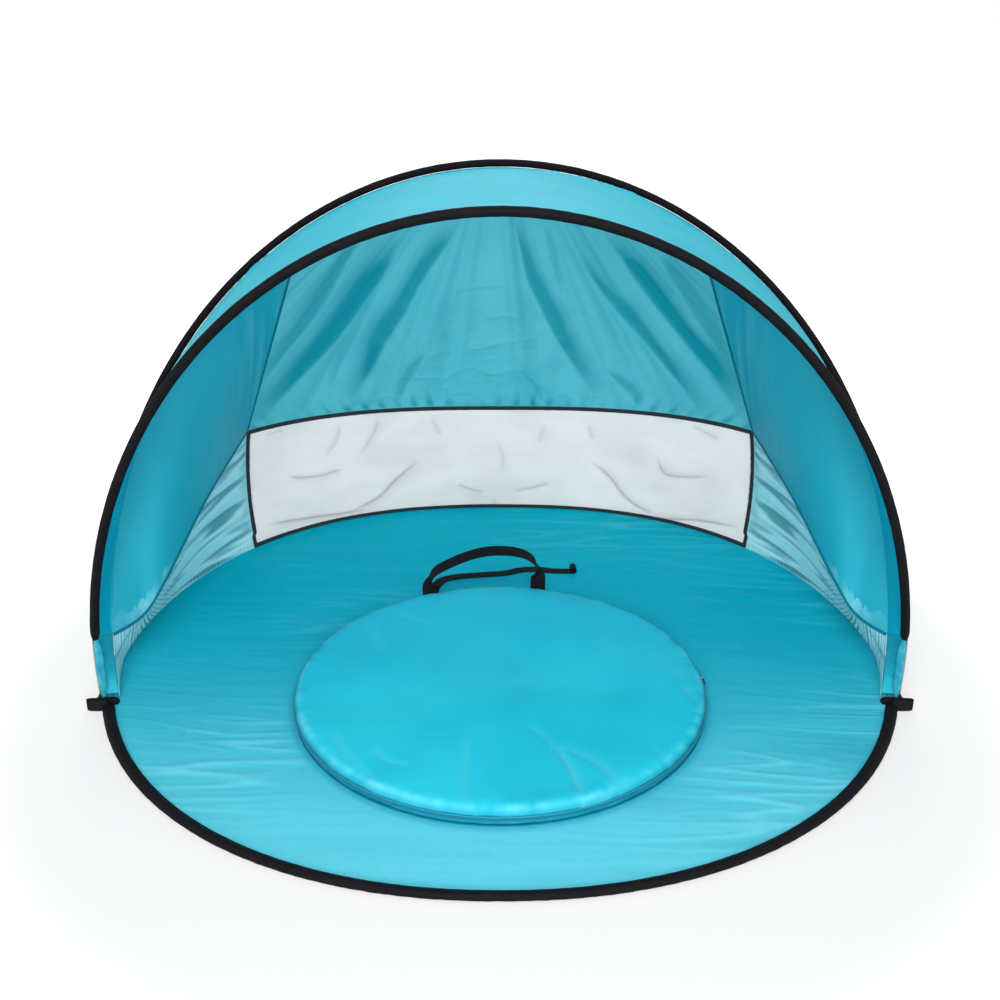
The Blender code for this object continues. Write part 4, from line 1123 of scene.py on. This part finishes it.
# The side cloth's paler tint is its seam allowance, with painted highlights on the streaks near the back. The
# gusset's pale colours are painted light shining through it from behind, its fold colour painted shade in its
# gathers, and its paler tint painted highlights on their ridges.
side_finish = canopy_cloth("side_panel_cloth", rgb(38, 186, 206), rgb(28, 175, 197), glow=0.2,
                           pale_tint=rgb(120, 212, 226))
gusset_finish = canopy_cloth("gusset_cloth", rgb(200, 246, 250), rgb(178, 238, 244), glow=0.35,
                             fold_shade=rgb(28, 136, 158), pale_tint=rgb(226, 247, 250))
SIDES = (("left", lambda place: place, lambda relief: relief), ("right", mirrored, turned_about))
for name, turn_place, turn_relief in SIDES:
    side_wall = panel(name + "_side_wall", 220, 110, turn_place(side_place), turn_relief(side_relief),
                      side_finish)
    stand_in(side_wall, name + "_side_panel", follow_wall)
    gusset = panel(name + "_gathered_gusset", 420, 120, turn_place(gusset_place), turn_relief(gusset_relief),
                   gusset_finish, held="gathered")
    stand_in(gusset, name + "_lower_gusset", follow_wall)


# The seams of the rear wall: the two cloths are turned in and closed with a narrow tape of the same dye.
SEAM_TAPE = 0.0052
SEAM_TAPE_PROUD = 0.0012


def run_of(line, share, step=0.004):
    """The direction in which a line runs."""
    return unit(line(np.minimum(share + step, 1.0)) - line(np.maximum(share - step, 0.0)))


def seam_tape(name, line):
    """Narrow tape on the inside of a seam."""
    def facing(share):
        return unit(square_to(run_of(line, share, 0.01), np.array([0.0, 0.1, 0.3]) - line(share)))

    piece = tape(name, lambda a: line(a) + facing(a) * SEAM_TAPE_PROUD,
                 lambda a: np.cross(run_of(line, a, 0.01), facing(a)), facing, 160, seam_finish, SEAM_TAPE,
                 0.0007)
    follow_wall(piece)


def grained(name, scale, detail, first, second, roughness, gloss, relief=0.0004):
    """Plain woven stuff between two shades, with its grain as its relief."""
    finish = Finish(name, Roughness=roughness, Specular_IOR_Level=gloss)
    grain = finish.speckle(finish.body_place(), scale, detail)
    finish.colour(grain, first, second)
    if relief:
        finish.bump(grain, relief)
    return finish


seam_finish = grained("seam_tape", 500.0, 1.0, rgb(2, 96, 118), rgb(10, 118, 140), 0.6, 0.2)
for name, turn in (("left", 1.0), ("right", -1.0)):
    flip = np.array([turn, 1.0, 1.0])
    seam_tape(name + "_back_seam", lambda a, f=flip: back_place(np.zeros(len(a)), 0.02 + a * 0.97) * f)
    seam_tape(name + "_lower_seam", lambda a, f=flip: smooth_route(SIDE_SEAM, 0.01 + a * 0.975) * f)


# The roof: one band from the front arch back to the rear one, over the whole width, with a small gusset at
# each end. It is the tent's outside seen from the front, smooth and bright, with a few soft creases.
band_front = share_at_reach(FRONT_ARCH, POCKET_TOP + 0.001)
band_rear = share_at_reach(REAR_ARCH, SIDE_SEAM_FOOT + 0.001)


def band_place(across, back):
    rear = rear_arch_line(band_rear + (1.0 - 2.0 * band_rear) * across)
    front = off_tube(FRONT_ARCH, band_front + (1.0 - 2.0 * band_front) * across, rear, SLEEVE_RADIUS - 0.0006)
    return between(front, rear, back)


def band_relief(across, back, places):
    wide = rumple(places, (6.0, 9.0, 6.0), 61.0)
    ridge = ridged(rumple(places, (7.0, 4.0, 6.0), 63.0), 6.0) ** 1.5
    height = 0.0030 * wide + 0.0018 * ridge
    run = across * 2.1
    height += 0.0012 * puckers(run, (1.0 - back) * 0.5, 0.019, 0.026, 67.0)
    height += 0.0009 * puckers(run, back * 0.5, 0.023, 0.020, 69.0)
    height *= smooth_step(edge_gap(across, back, 2.0, 0.5), 0.0, 0.02)
    # Painted shade along the ridge lines and in the hollows of the roof's unevenness.
    return height, {"fold": ridge * 0.3 + capped(-wide) * 0.3}


def corner_place(up, back):
    steps = np.linspace(0.0, 1.0, 9)
    front_steps = [share_at_reach(FRONT_ARCH, 0.012 + (POCKET_TOP - 0.010) * step) for step in steps]
    rear_steps = [share_at_reach(REAR_ARCH, 0.011 + (SIDE_SEAM_FOOT - 0.009) * step) for step in steps]
    rear = rear_arch_line(np.interp(up, steps, rear_steps))
    front = off_tube(FRONT_ARCH, np.interp(up, steps, front_steps), rear, SLEEVE_RADIUS)
    return between(front, rear, back)


def corner_relief(up, back, places):
    ripple = rumple_flat(up * 9.0, back * 1.5, 71.0)
    height = 0.0012 * ripple * smooth_step(edge_gap(up, back, 0.1, 0.05), 0.0, 0.008)
    return height, {"fold": capped(-ripple) * 0.6}


# The roof's fold colour is painted shade on its creases.
roof_finish = canopy_cloth("roof_cloth", ROOF_BLUE, ROOF_DEEP, glow=0.12, roughness=0.5,
                           fold_shade=rgb(20, 182, 206), gloss=0.1)
roof = panel("roof_cloth", 440, 100, band_place, band_relief, roof_finish,
             toward=(0.0, 0.2, 3.0))
stand_in(roof, "roof_band", follow_front)
for name, turn_place, turn_relief in SIDES:
    corner = panel(name + "_corner_piece", 60, 16, turn_place(corner_place), turn_relief(corner_relief),
                   side_finish, held="gathered")
    stand_in(corner, name + "_corner_gusset", follow_front)


# The corners: flat teal pockets over the feet of the front arch, a black roll where the four sleeve ends are
# folded and sewn together, and a loop of black webbing for a ground peg.
POCKET_RADIUS = 0.007
POCKET_OUT, POCKET_IN = 0.0012, 0.0100
CORNER_ROLL_RADIUS = 0.0062
CORNER_REACH = 0.624


def pocket(name, first, last, seed):
    """A flat sewn pocket, level with the sleeve outside, wider inside, and narrower at its ends."""
    def shape(along, turn):
        share = first + (last - first) * along
        uneven = 1.0 + 0.07 * rumple(np.stack([share * 240.0, np.cos(turn), np.sin(turn)], -1), 1.0, seed)
        inner = np.maximum(-np.cos(turn), 0.0)
        narrow = 1.0 - 0.5 * (1.0 - smooth_step(np.minimum(along, 1.0 - along), 0.0, 0.3)) ** 2
        reach = uneven * np.where(np.cos(turn) > 0.0, POCKET_OUT, POCKET_IN * narrow) * np.cos(turn)
        height = uneven * POCKET_RADIUS * narrow * np.sin(turn) * (1.0 - 0.7 * inner**2)
        return beside_hoop(FRONT_ARCH, share, reach, height)

    stand_in(tube(name + "_cover", 90, 28, shape, pocket_finish), name, follow_front)


def pocket_cloth():
    finish = Finish("pocket_cloth", Roughness=0.5)
    body = finish.body_place()
    folds = finish.speckle(body, 60.0, 4.0, 0.6)
    # Darker where the fold noise rises, the same noise that makes the pocket's bumps.
    fold_tone = finish.clamped(folds, 0.3, 0.7)
    finish.colour(fold_tone, rgb(58, 162, 180), rgb(28, 138, 160))
    finish.bump(folds, 0.0012)
    return finish


pocket_finish = pocket_cloth()
pocket_first, pocket_last = share_at_reach(FRONT_ARCH, SLEEVE_START), share_at_reach(FRONT_ARCH, POCKET_TOP)
pocket("left_arch_pocket", pocket_first, pocket_last, 2.0)
pocket("right_arch_pocket", 1.0 - pocket_last, 1.0 - pocket_first, 5.0)


def corner_roll(name, seed):
    """The sleeve ends rolled up on the fold line, round and a little lumpy."""
    low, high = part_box(name + "_corner_roll")
    left, right = max(low.x, -CORNER_REACH), min(high.x, CORNER_REACH)

    def shape(along, turn):
        ends = np.sqrt(np.clip(1.0 - np.abs(along * 2.0 - 1.0) ** 6.0, 0.02, 1.0))
        wave = np.stack([along * 7.0, np.cos(turn), np.sin(turn)], -1)
        radius = CORNER_ROLL_RADIUS * ends * (1.0 + 0.06 * rumple(wave, 1.0, seed))
        return np.stack([left + (right - left) * along, radius * np.cos(turn),
                         FOLD_LINE_HEIGHT + radius * np.sin(turn)], -1)

    stand_in(tube(name + "_corner_binding", 40, 20, shape, black_sleeve), name + "_corner_roll", "floor")


corner_roll("left", -1.0)
corner_roll("right", 1.0)

# The pegging loops: black webbing doubled over and sewn into the corner, standing out a little to each side.
WEBBING = 0.0016
UP = np.array([0.0, 0.0, 1.0])


def webbing_cloth(name, dark, pale):
    """Black polypropylene webbing with its coarse weave, a little paler where it rubs."""
    finish = Finish(name, Roughness=0.72, Specular_IOR_Level=0.14)
    cloth = finish.cloth_place()
    warp = finish.ribs(cloth, "Y", 150.0)
    weft = finish.ribs(cloth, "X", 95.0)
    rub = finish.speckle(finish.body_place(), 70.0, 3.0, 0.6)
    finish.colour(finish.clamped(rub, 0.45, 0.8) * 0.5 + warp * 0.2, dark, pale)
    finish.feed("Roughness", 0.58 + rub * 0.2)
    finish.bump(warp * weft, 0.0006)
    return finish


webbing_finish = webbing_cloth("black_webbing", rgb(8, 9, 12), rgb(24, 25, 30))


def faced(line, wide):
    """The face of a strap: square to its run and to its width."""
    return lambda share: unit(np.cross(run_of(line, share), wide(share)))


def strap_piece(name, node, follow, line, wide, steps, width, thick=WEBBING / 2.0, ripple=0.4):
    """A length of the black webbing along a line."""
    piece = tape(name, line, wide, faced(line, wide), steps, webbing_finish, width, thick, ripple)
    stand_in(piece, node, follow)


LOOP_HEIGHT = 0.0102
LOOP_ROUTE = ((0.600, -0.0108), (0.614, -0.0106), (0.624, -0.0108), (0.6300, -0.0120), (0.6318, -0.0140),
              (0.6300, -0.0160), (0.624, -0.0172), (0.614, -0.0174), (0.600, -0.0172))
for name, side in (("left", -1.0), ("right", 1.0)):
    def loop_line(share, side=side):
        flat = smooth_route(LOOP_ROUTE, share)
        return np.stack([flat[..., 0] * side, flat[..., 1], np.full(flat.shape[:-1], LOOP_HEIGHT)], -1)

    strap_piece(name + "_peg_webbing", name + "_peg_loop", "floor", loop_line, always(UP), 70, width=0.0196,
                thick=0.0010, ripple=0.6)


# The carry bag: a flat drum of the tent's cloth. Its top is a disc with a soft rim, its side is a band with
# a zip round the front half, and its bottom lies on the groundsheet.
BAG_HEIGHT = 0.028
BAG_FLOOR = FLOOR_CLOTH + GAP
# The creases in the bag's top, as places (x, y) in millimetres, each with its width and its depth, which also
# sets the painted shade in it and the painted highlight beside it
BAG_TOP_CREASES = (
    (((-48, -127), (-47, -218), (-49, -294)), 10, 0.5),
    (((78, -150), (92, -188), (105, -239), (116, -294)), 8, 1.0),
    (((82, -158), (112, -173), (145, -207), (171, -264)), 12, 0.6),
    (((116, -294), (150, -257), (183, -225)), 8, 0.7),
    (((-28, -291), (-34, -314), (-27, -331)), 5, 1.0),
    (((-258, 239), (-208, 176), (-187, 98)), 14, 0.4),
    (((215, -158), (243, -188)), 9, 0.6),
    (((-181, -158), (-159, -188), (-125, -203)), 10, 0.5),
    (((34, -103), (65, -135), (85, -188)), 10, 0.4),
    (((279, 6), (293, -37)), 8, 0.6),
    (((-171, 228), (-122, 197)), 12, 0.4),
    (((-246, -110), (-218, -170), (-170, -236)), 12, 0.4),
    (((225, 120), (262, 60), (280, 10)), 12, 0.4),
)


def turned_shell(name, node, profile, relief):
    """A shell turned about the bag's middle from a profile of (radius, height) points, and then creased."""
    bm = bmesh.new()
    verts = [bm.verts.new((radius, 0.0, height)) for radius, height in profile]
    edges = [bm.edges.new(pair) for pair in zip(verts, verts[1:])]
    bmesh.ops.spin(bm, geom=verts + edges, axis=UP, cent=(0.0, 0.0, 0.0), angle=2.0 * math.pi, steps=360,
                   use_merge=True)
    bmesh.ops.remove_doubles(bm, verts=bm.verts, dist=1e-6)
    bmesh.ops.recalc_face_normals(bm, faces=bm.faces)
    places = np.array([vert.co for vert in bm.verts])
    moves, marks = relief(places)
    move(bm, places + moves + np.array([0.0, BAG_BACK, BAG_FLOOR]))
    piece = to_piece(name, bm, bag_finish)
    paint(piece.data, marks)
    stand_in(piece, node, "bag")


def bag_top_relief(places):
    flat = places[:, :2]
    radius = np.hypot(flat[:, 0], flat[:, 1])
    spoke = unit(places * (1.0, 1.0, 0.0) + (1e-12, 0.0, 0.0))
    circle = spoke + radius[:, None] * 6.0 * UP
    inner = smooth_step(BAG_RADIUS - radius, 0.002, 0.04)
    height = (0.0030 * rumple(flat, 5.0, 81.0) + 0.0014 * rumple(flat, 13.0, 83.0)) * inner
    dark, pale = np.zeros((2, len(flat)))
    moved = flat + np.array([0.0, BAG_BACK])
    # Painted shade in each crease, and a painted highlight along its lip.
    for i, (route, width, depth) in enumerate(BAG_TOP_CREASES):
        ends = {"head": 0.25, "foot": 0.15, "seed": i * 1.9}
        dip = crease(moved, route, width, inner=0.35, growth=0.4, **ends)
        lip = crease(moved, route, width * 0.8, inner=0.5, growth=0.2, **ends)
        height -= depth * 0.0016 * dip
        dark = np.maximum(dark, depth * 0.16 * dip)
        pale = np.maximum(pale, depth * 0.28 * lip)
    rim = np.exp(-(((BAG_RADIUS - 0.010 - radius) / 0.012) ** 2))
    gathers = rumple(circle, (24.0, 24.0, 1.0), 85.0)
    lumps = rumple(circle, (9.0, 9.0, 1.0), 86.0)
    height += (0.0011 * gathers + 0.0012 * lumps) * rim * (places[:, 2] > 0.018)
    # A painted highlight in a band along the rounded rim, where it catches the light.
    paler_share = np.exp(-(((BAG_RADIUS - 0.006 - radius) / 0.005) ** 2))
    pale = np.maximum(pale, capped(0.35 + 0.7 * lumps + 0.5 * gathers) * 0.6 * paler_share)
    # Painted shade in the troughs of the rim's gathers, and painted shade growing down the rim's side, to dim
    # the entrance lamp's light on it.
    dark = np.maximum(dark, capped(-gathers) * 0.25 * rim)
    dark = np.maximum(dark, 0.60 * smooth_step(0.0299 - places[:, 2], 0.0, 0.0085))
    out = 0.0010 * lumps * (1.0 - inner)
    moves = spoke * out[:, None] + height[:, None] * UP
    return moves, {"fold": capped(dark), "seam": capped(pale)}


def bag_band_relief(places):
    spoke = unit(places * (1.0, 1.0, 0.0))
    circle = spoke * 12.0 + places * (0.0, 0.0, 60.0)
    out = 0.0008 * rumple(circle, 1.0, 87.0) + 0.0004 * rumple(circle * 3.0, 1.0, 89.0)
    # Painted shade over the side band, a little less where it bulges out.
    return spoke * out[:, None], {"fold": capped(0.9 - out * 200.0)}


def bag_cloth():
    """The bag's coated cloth: the tent's blue, smoother, with painted shade and painted highlights from its
    marks.
    """
    finish = Finish("bag_cloth", Roughness=0.6, Specular_IOR_Level=0.12)
    body = finish.body_place()
    broad = finish.speckle(body, 4.0, 3.0, 0.55)
    weave = finish.speckle(body, 620.0, 1.0)
    colour = finish.tinted(finish.clamped(broad, 0.3, 0.7), rgb(44, 199, 220), rgb(30, 188, 212))
    # Painted shade on the fold mark, painted highlights on the seam mark.
    colour = finish.tinted(finish.mark("fold"), colour, rgb(4, 118, 144))
    colour = finish.tinted(finish.mark("seam"), colour, rgb(120, 218, 234))
    finish.feed("Base Color", colour)
    finish.feed("Roughness", 0.54 + weave * 0.12)
    finish.bump(finish.speckle(body, 30.0, 5.0, 0.6) * 1.2 + weave * 0.2, 0.0010, 0.5)
    return finish


bag_finish = bag_cloth()
RIM_WIDTH, RIM_TOP, CROWN = 0.060, 0.0302, 0.0010
RIM_PROFILE = ((0.060, 0.0302), (0.032, 0.0300), (0.016, 0.0293), (0.0065, 0.0270), (0.0018, 0.0232),
               (0.0002, 0.0186), (0.0010, 0.0160))
flat_part = np.linspace(0.0, 1.0, 50)[:-1]
top_profile = [((BAG_RADIUS - RIM_WIDTH) * share, RIM_TOP + CROWN * (1.0 - share**2)) for share in flat_part]
rim_line = smooth_route(RIM_PROFILE, np.linspace(0.0, 1.0, 30))
top_profile += [(BAG_RADIUS - inset, height) for inset, height in rim_line]
turned_shell("bag_top_cloth", "bag_top_panel", top_profile, bag_top_relief)
BAND_PROFILE = ((0.0012, 0.0162), (0.0018, 0.0120), (0.0014, 0.0080), (0.0002, 0.0070), (0.0004, 0.0045),
                (0.0030, 0.0016), (0.0075, 0.0010))
band_line = smooth_route(BAND_PROFILE, np.linspace(0.0, 1.0, 24))
band_profile = [(BAG_RADIUS - inset, height) for inset, height in band_line]
turned_shell("bag_side_cloth", "bag_side_band", band_profile, bag_band_relief)
base_cloth = grained("bag_base_cloth", 500.0, 2.0, rgb(4, 104, 130), rgb(10, 124, 150), 0.7, 0.1, relief=0.0)
refinish(base_cloth, "bag_bottom_panel")

# The zip: a tape a shade darker than the bag, with a fine nylon coil along its middle, shut. Its slider and
# pull are small zinc castings.
ZIP_MIDDLE = BAG_HEIGHT * 0.42
ZIP_FIRST, ZIP_LAST = math.radians(10.0), math.radians(-190.0)


def away_from_bag(share):
    turn = ZIP_FIRST + (ZIP_LAST - ZIP_FIRST) * share
    return np.stack([np.cos(turn), np.sin(turn), np.zeros(len(turn))], -1)


def round_bag(radius):
    middle = np.array([0.0, BAG_BACK, BAG_FLOOR + ZIP_MIDDLE])
    return lambda share: middle + away_from_bag(share) * radius


zip_grain = grained("zip_tape", 800.0, 1.0, rgb(14, 120, 144), rgb(30, 150, 174), 0.7, 0.2)
zip_cloth = tape("zip_tape", round_bag(BAG_RADIUS - 0.0004), always(UP), away_from_bag, 420, zip_grain,
                 width=0.0078, thick=0.0006, ripple=0.5)
stand_in(zip_cloth, "bag_zip", "bag")
coil_finish = Finish("zip_coil", Roughness=0.35)
coil_turns = coil_finish.ribs(coil_finish.cloth_place(), "X", 160.0)
# The coil's turns, with the pale half of each as a painted glint.
coil_finish.colour(coil_turns, rgb(6, 80, 100), rgb(64, 142, 160))
coil_finish.bump(coil_turns, 0.0010)
zip_coil = tape("zip_coil", round_bag(BAG_RADIUS + 0.0006), always(UP), away_from_bag, 420, coil_finish,
                width=0.0026, thick=0.0009, ripple=0.0)
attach(zip_coil, "bag")
cast_zinc = bare_metal("cast_zinc", 260.0, 0.22, rgb(196, 198, 202), rgb(150, 152, 158))
refinish(cast_zinc, "zip_slider", "zip_pull")

# The carrying handle: one length of black webbing sewn to the back of the bag. It stands up by its own
# stiffness, folds over above each foot, and lies nearly level along the top.
HANDLE_WIDTH = 0.026
HANDLE_HALF_SPAN = 0.094
HANDLE_TILT = math.radians(14.0)
HANDLE_ROUTE = ((-0.0940, -0.007), (-0.0940, 0.000), (-0.0945, 0.010), (-0.0935, 0.021), (-0.0900, 0.031),
                (-0.0820, 0.040), (-0.0680, 0.048), (-0.0500, 0.0565), (-0.0310, 0.064), (-0.0100, 0.070),
                (0.0120, 0.073), (0.0340, 0.0725), (0.0560, 0.069), (0.0740, 0.062), (0.0870, 0.051),
                (0.0925, 0.037), (0.0940, 0.023), (0.0945, 0.011), (0.0940, 0.000), (0.0940, -0.007))
HANDLE_FOOT_DROP, HANDLE_OFF_BAG, HANDLE_SEWN_IN = 0.002, 0.004, 0.0022
TAB_TOP, TAB_LENGTH = 0.0045, 0.0125
handle_turn = math.radians(95.2)
handle_out = np.array([math.cos(handle_turn), math.sin(handle_turn), 0.0])
handle_across = np.array([math.sin(handle_turn), -math.cos(handle_turn), 0.0])
handle_chord = math.sqrt((BAG_RADIUS + GAP + WEBBING / 2.0) ** 2 - HANDLE_HALF_SPAN**2)
handle_middle = (np.array([0.0, BAG_BACK, BAG_FLOOR + BAG_HEIGHT - HANDLE_FOOT_DROP])
                 + handle_out * (handle_chord + HANDLE_OFF_BAG))


def handle_line(share):
    flat = smooth_route(HANDLE_ROUTE, share)
    sewn_in = smooth_step(-flat[..., 1:], 0.0, 0.006) * HANDLE_SEWN_IN
    return handle_middle + handle_across * flat[..., :1] + UP * flat[..., 1:] - handle_out * sewn_in


def handle_wide(share):
    flat = smooth_route(HANDLE_ROUTE, share)
    left = smooth_step(flat[..., 1], 0.001, 0.027)
    right = smooth_step(flat[..., 1], 0.016, 0.040)
    twist = np.where(flat[..., 0] < 0.0, left * math.pi / 2.0, math.pi - right * math.pi / 2.0)
    flat_on_top = handle_out * math.cos(HANDLE_TILT) + UP * math.sin(HANDLE_TILT)
    wide = handle_across * np.cos(twist)[..., None] - flat_on_top * np.sin(twist)[..., None]
    return unit(square_to(run_of(handle_line, share), wide))


def follow_handle(piece):
    """For the handle: its place is baked into its mesh."""
    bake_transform(piece)


strap_piece("carrying_handle", "bag_handle", follow_handle, handle_line, handle_wide, 260, HANDLE_WIDTH)
SEWING_BOX = ((-0.010, -0.008), (0.010, -0.008), (0.010, -0.015), (-0.010, -0.015), (-0.010, -0.008))
black_thread = thread("black_thread", rgb(60, 62, 70))
for name, side in (("left", -1.0), ("right", 1.0)):
    foot = handle_middle + handle_across * HANDLE_HALF_SPAN * side
    spoke = unit(np.array([foot[0], foot[1] - BAG_BACK, 0.0]))
    sewn = spoke * (BAG_RADIUS + GAP + WEBBING / 2.0) + np.array([0.0, BAG_BACK, foot[2]])
    beside = np.array([spoke[1], -spoke[0], 0.0])
    tab = tape(name + "_handle_end", lambda share: sewn - UP * (TAB_TOP + TAB_LENGTH * share)[..., None],
               always(beside), always(spoke), 40, webbing_finish, HANDLE_WIDTH, WEBBING / 2.0, 0.4)
    stand_in(tab, name + "_handle_tab", "bag")
    box = np.concatenate([between(np.array(a), np.array(b), np.linspace(0.0, 1.0, 30))
                          for a, b in zip(SEWING_BOX, SEWING_BOX[1:])])
    sewing = sewn + beside * box[:, :1] + UP * box[:, 1:] + spoke * WEBBING / 2.0
    thread_row = stitches(name + "_handle_sewing", sewing, np.broadcast_to(spoke, sewing.shape), pitch=0.0030,
                          length=0.0020, thickness=0.0004, finish=black_thread)
    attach(thread_row, "bag")

# The tie strap: flat webbing from under the bag that lies along the groundsheet, with its end rolled up.
TIE_STRAP_WIDTH = 0.020
TIE_STRAP_END_RADIUS = 0.0065
TIE_STRAP_WOUND_IN = 0.0046
TIE_STRAP_ROUTE = ((-0.118, 0.341), (-0.117, 0.372), (-0.105, 0.400), (-0.080, 0.414), (-0.034, 0.422),
                   (0.008, 0.428), (0.040, 0.441), (0.070, 0.443), (0.095, 0.437), (0.126, 0.436),
                   (0.1325, 0.436))


def strap_line(share):
    flat = smooth_route(TIE_STRAP_ROUTE, share)
    return np.stack([flat[..., 0], flat[..., 1], np.full(flat.shape[:-1], BAG_FLOOR + WEBBING / 2.0)], -1)


def strap_wide(share):
    return np.cross(run_of(strap_line, share, 0.01), UP)


strap_piece("tie_strap", "bag_tie_strap", "bag", strap_line, strap_wide, 220, TIE_STRAP_WIDTH, ripple=0.6)
strap_end, strap_before = strap_line(np.array([1.0, 0.98]))
strap_run = unit(strap_end - strap_before)
roll_middle = strap_end + strap_run * GAP
roll_middle[2] = BAG_FLOOR + TIE_STRAP_END_RADIUS


def roll_line(share):
    """Three turns, from the loose outer end inward."""
    turn = -math.pi / 2.0 - 6.0 * math.pi * share
    radius = TIE_STRAP_END_RADIUS - WEBBING / 3.0 - TIE_STRAP_WOUND_IN * share
    behind, above = (radius * np.cos(turn))[..., None], (radius * np.sin(turn))[..., None]
    return roll_middle - strap_run * behind + UP * above


strap_piece("tie_strap_end", "tie_strap_roll", "bag", roll_line, always(np.cross(strap_run, UP)), 240,
            TIE_STRAP_WIDTH, WEBBING * 0.42, 0.3)
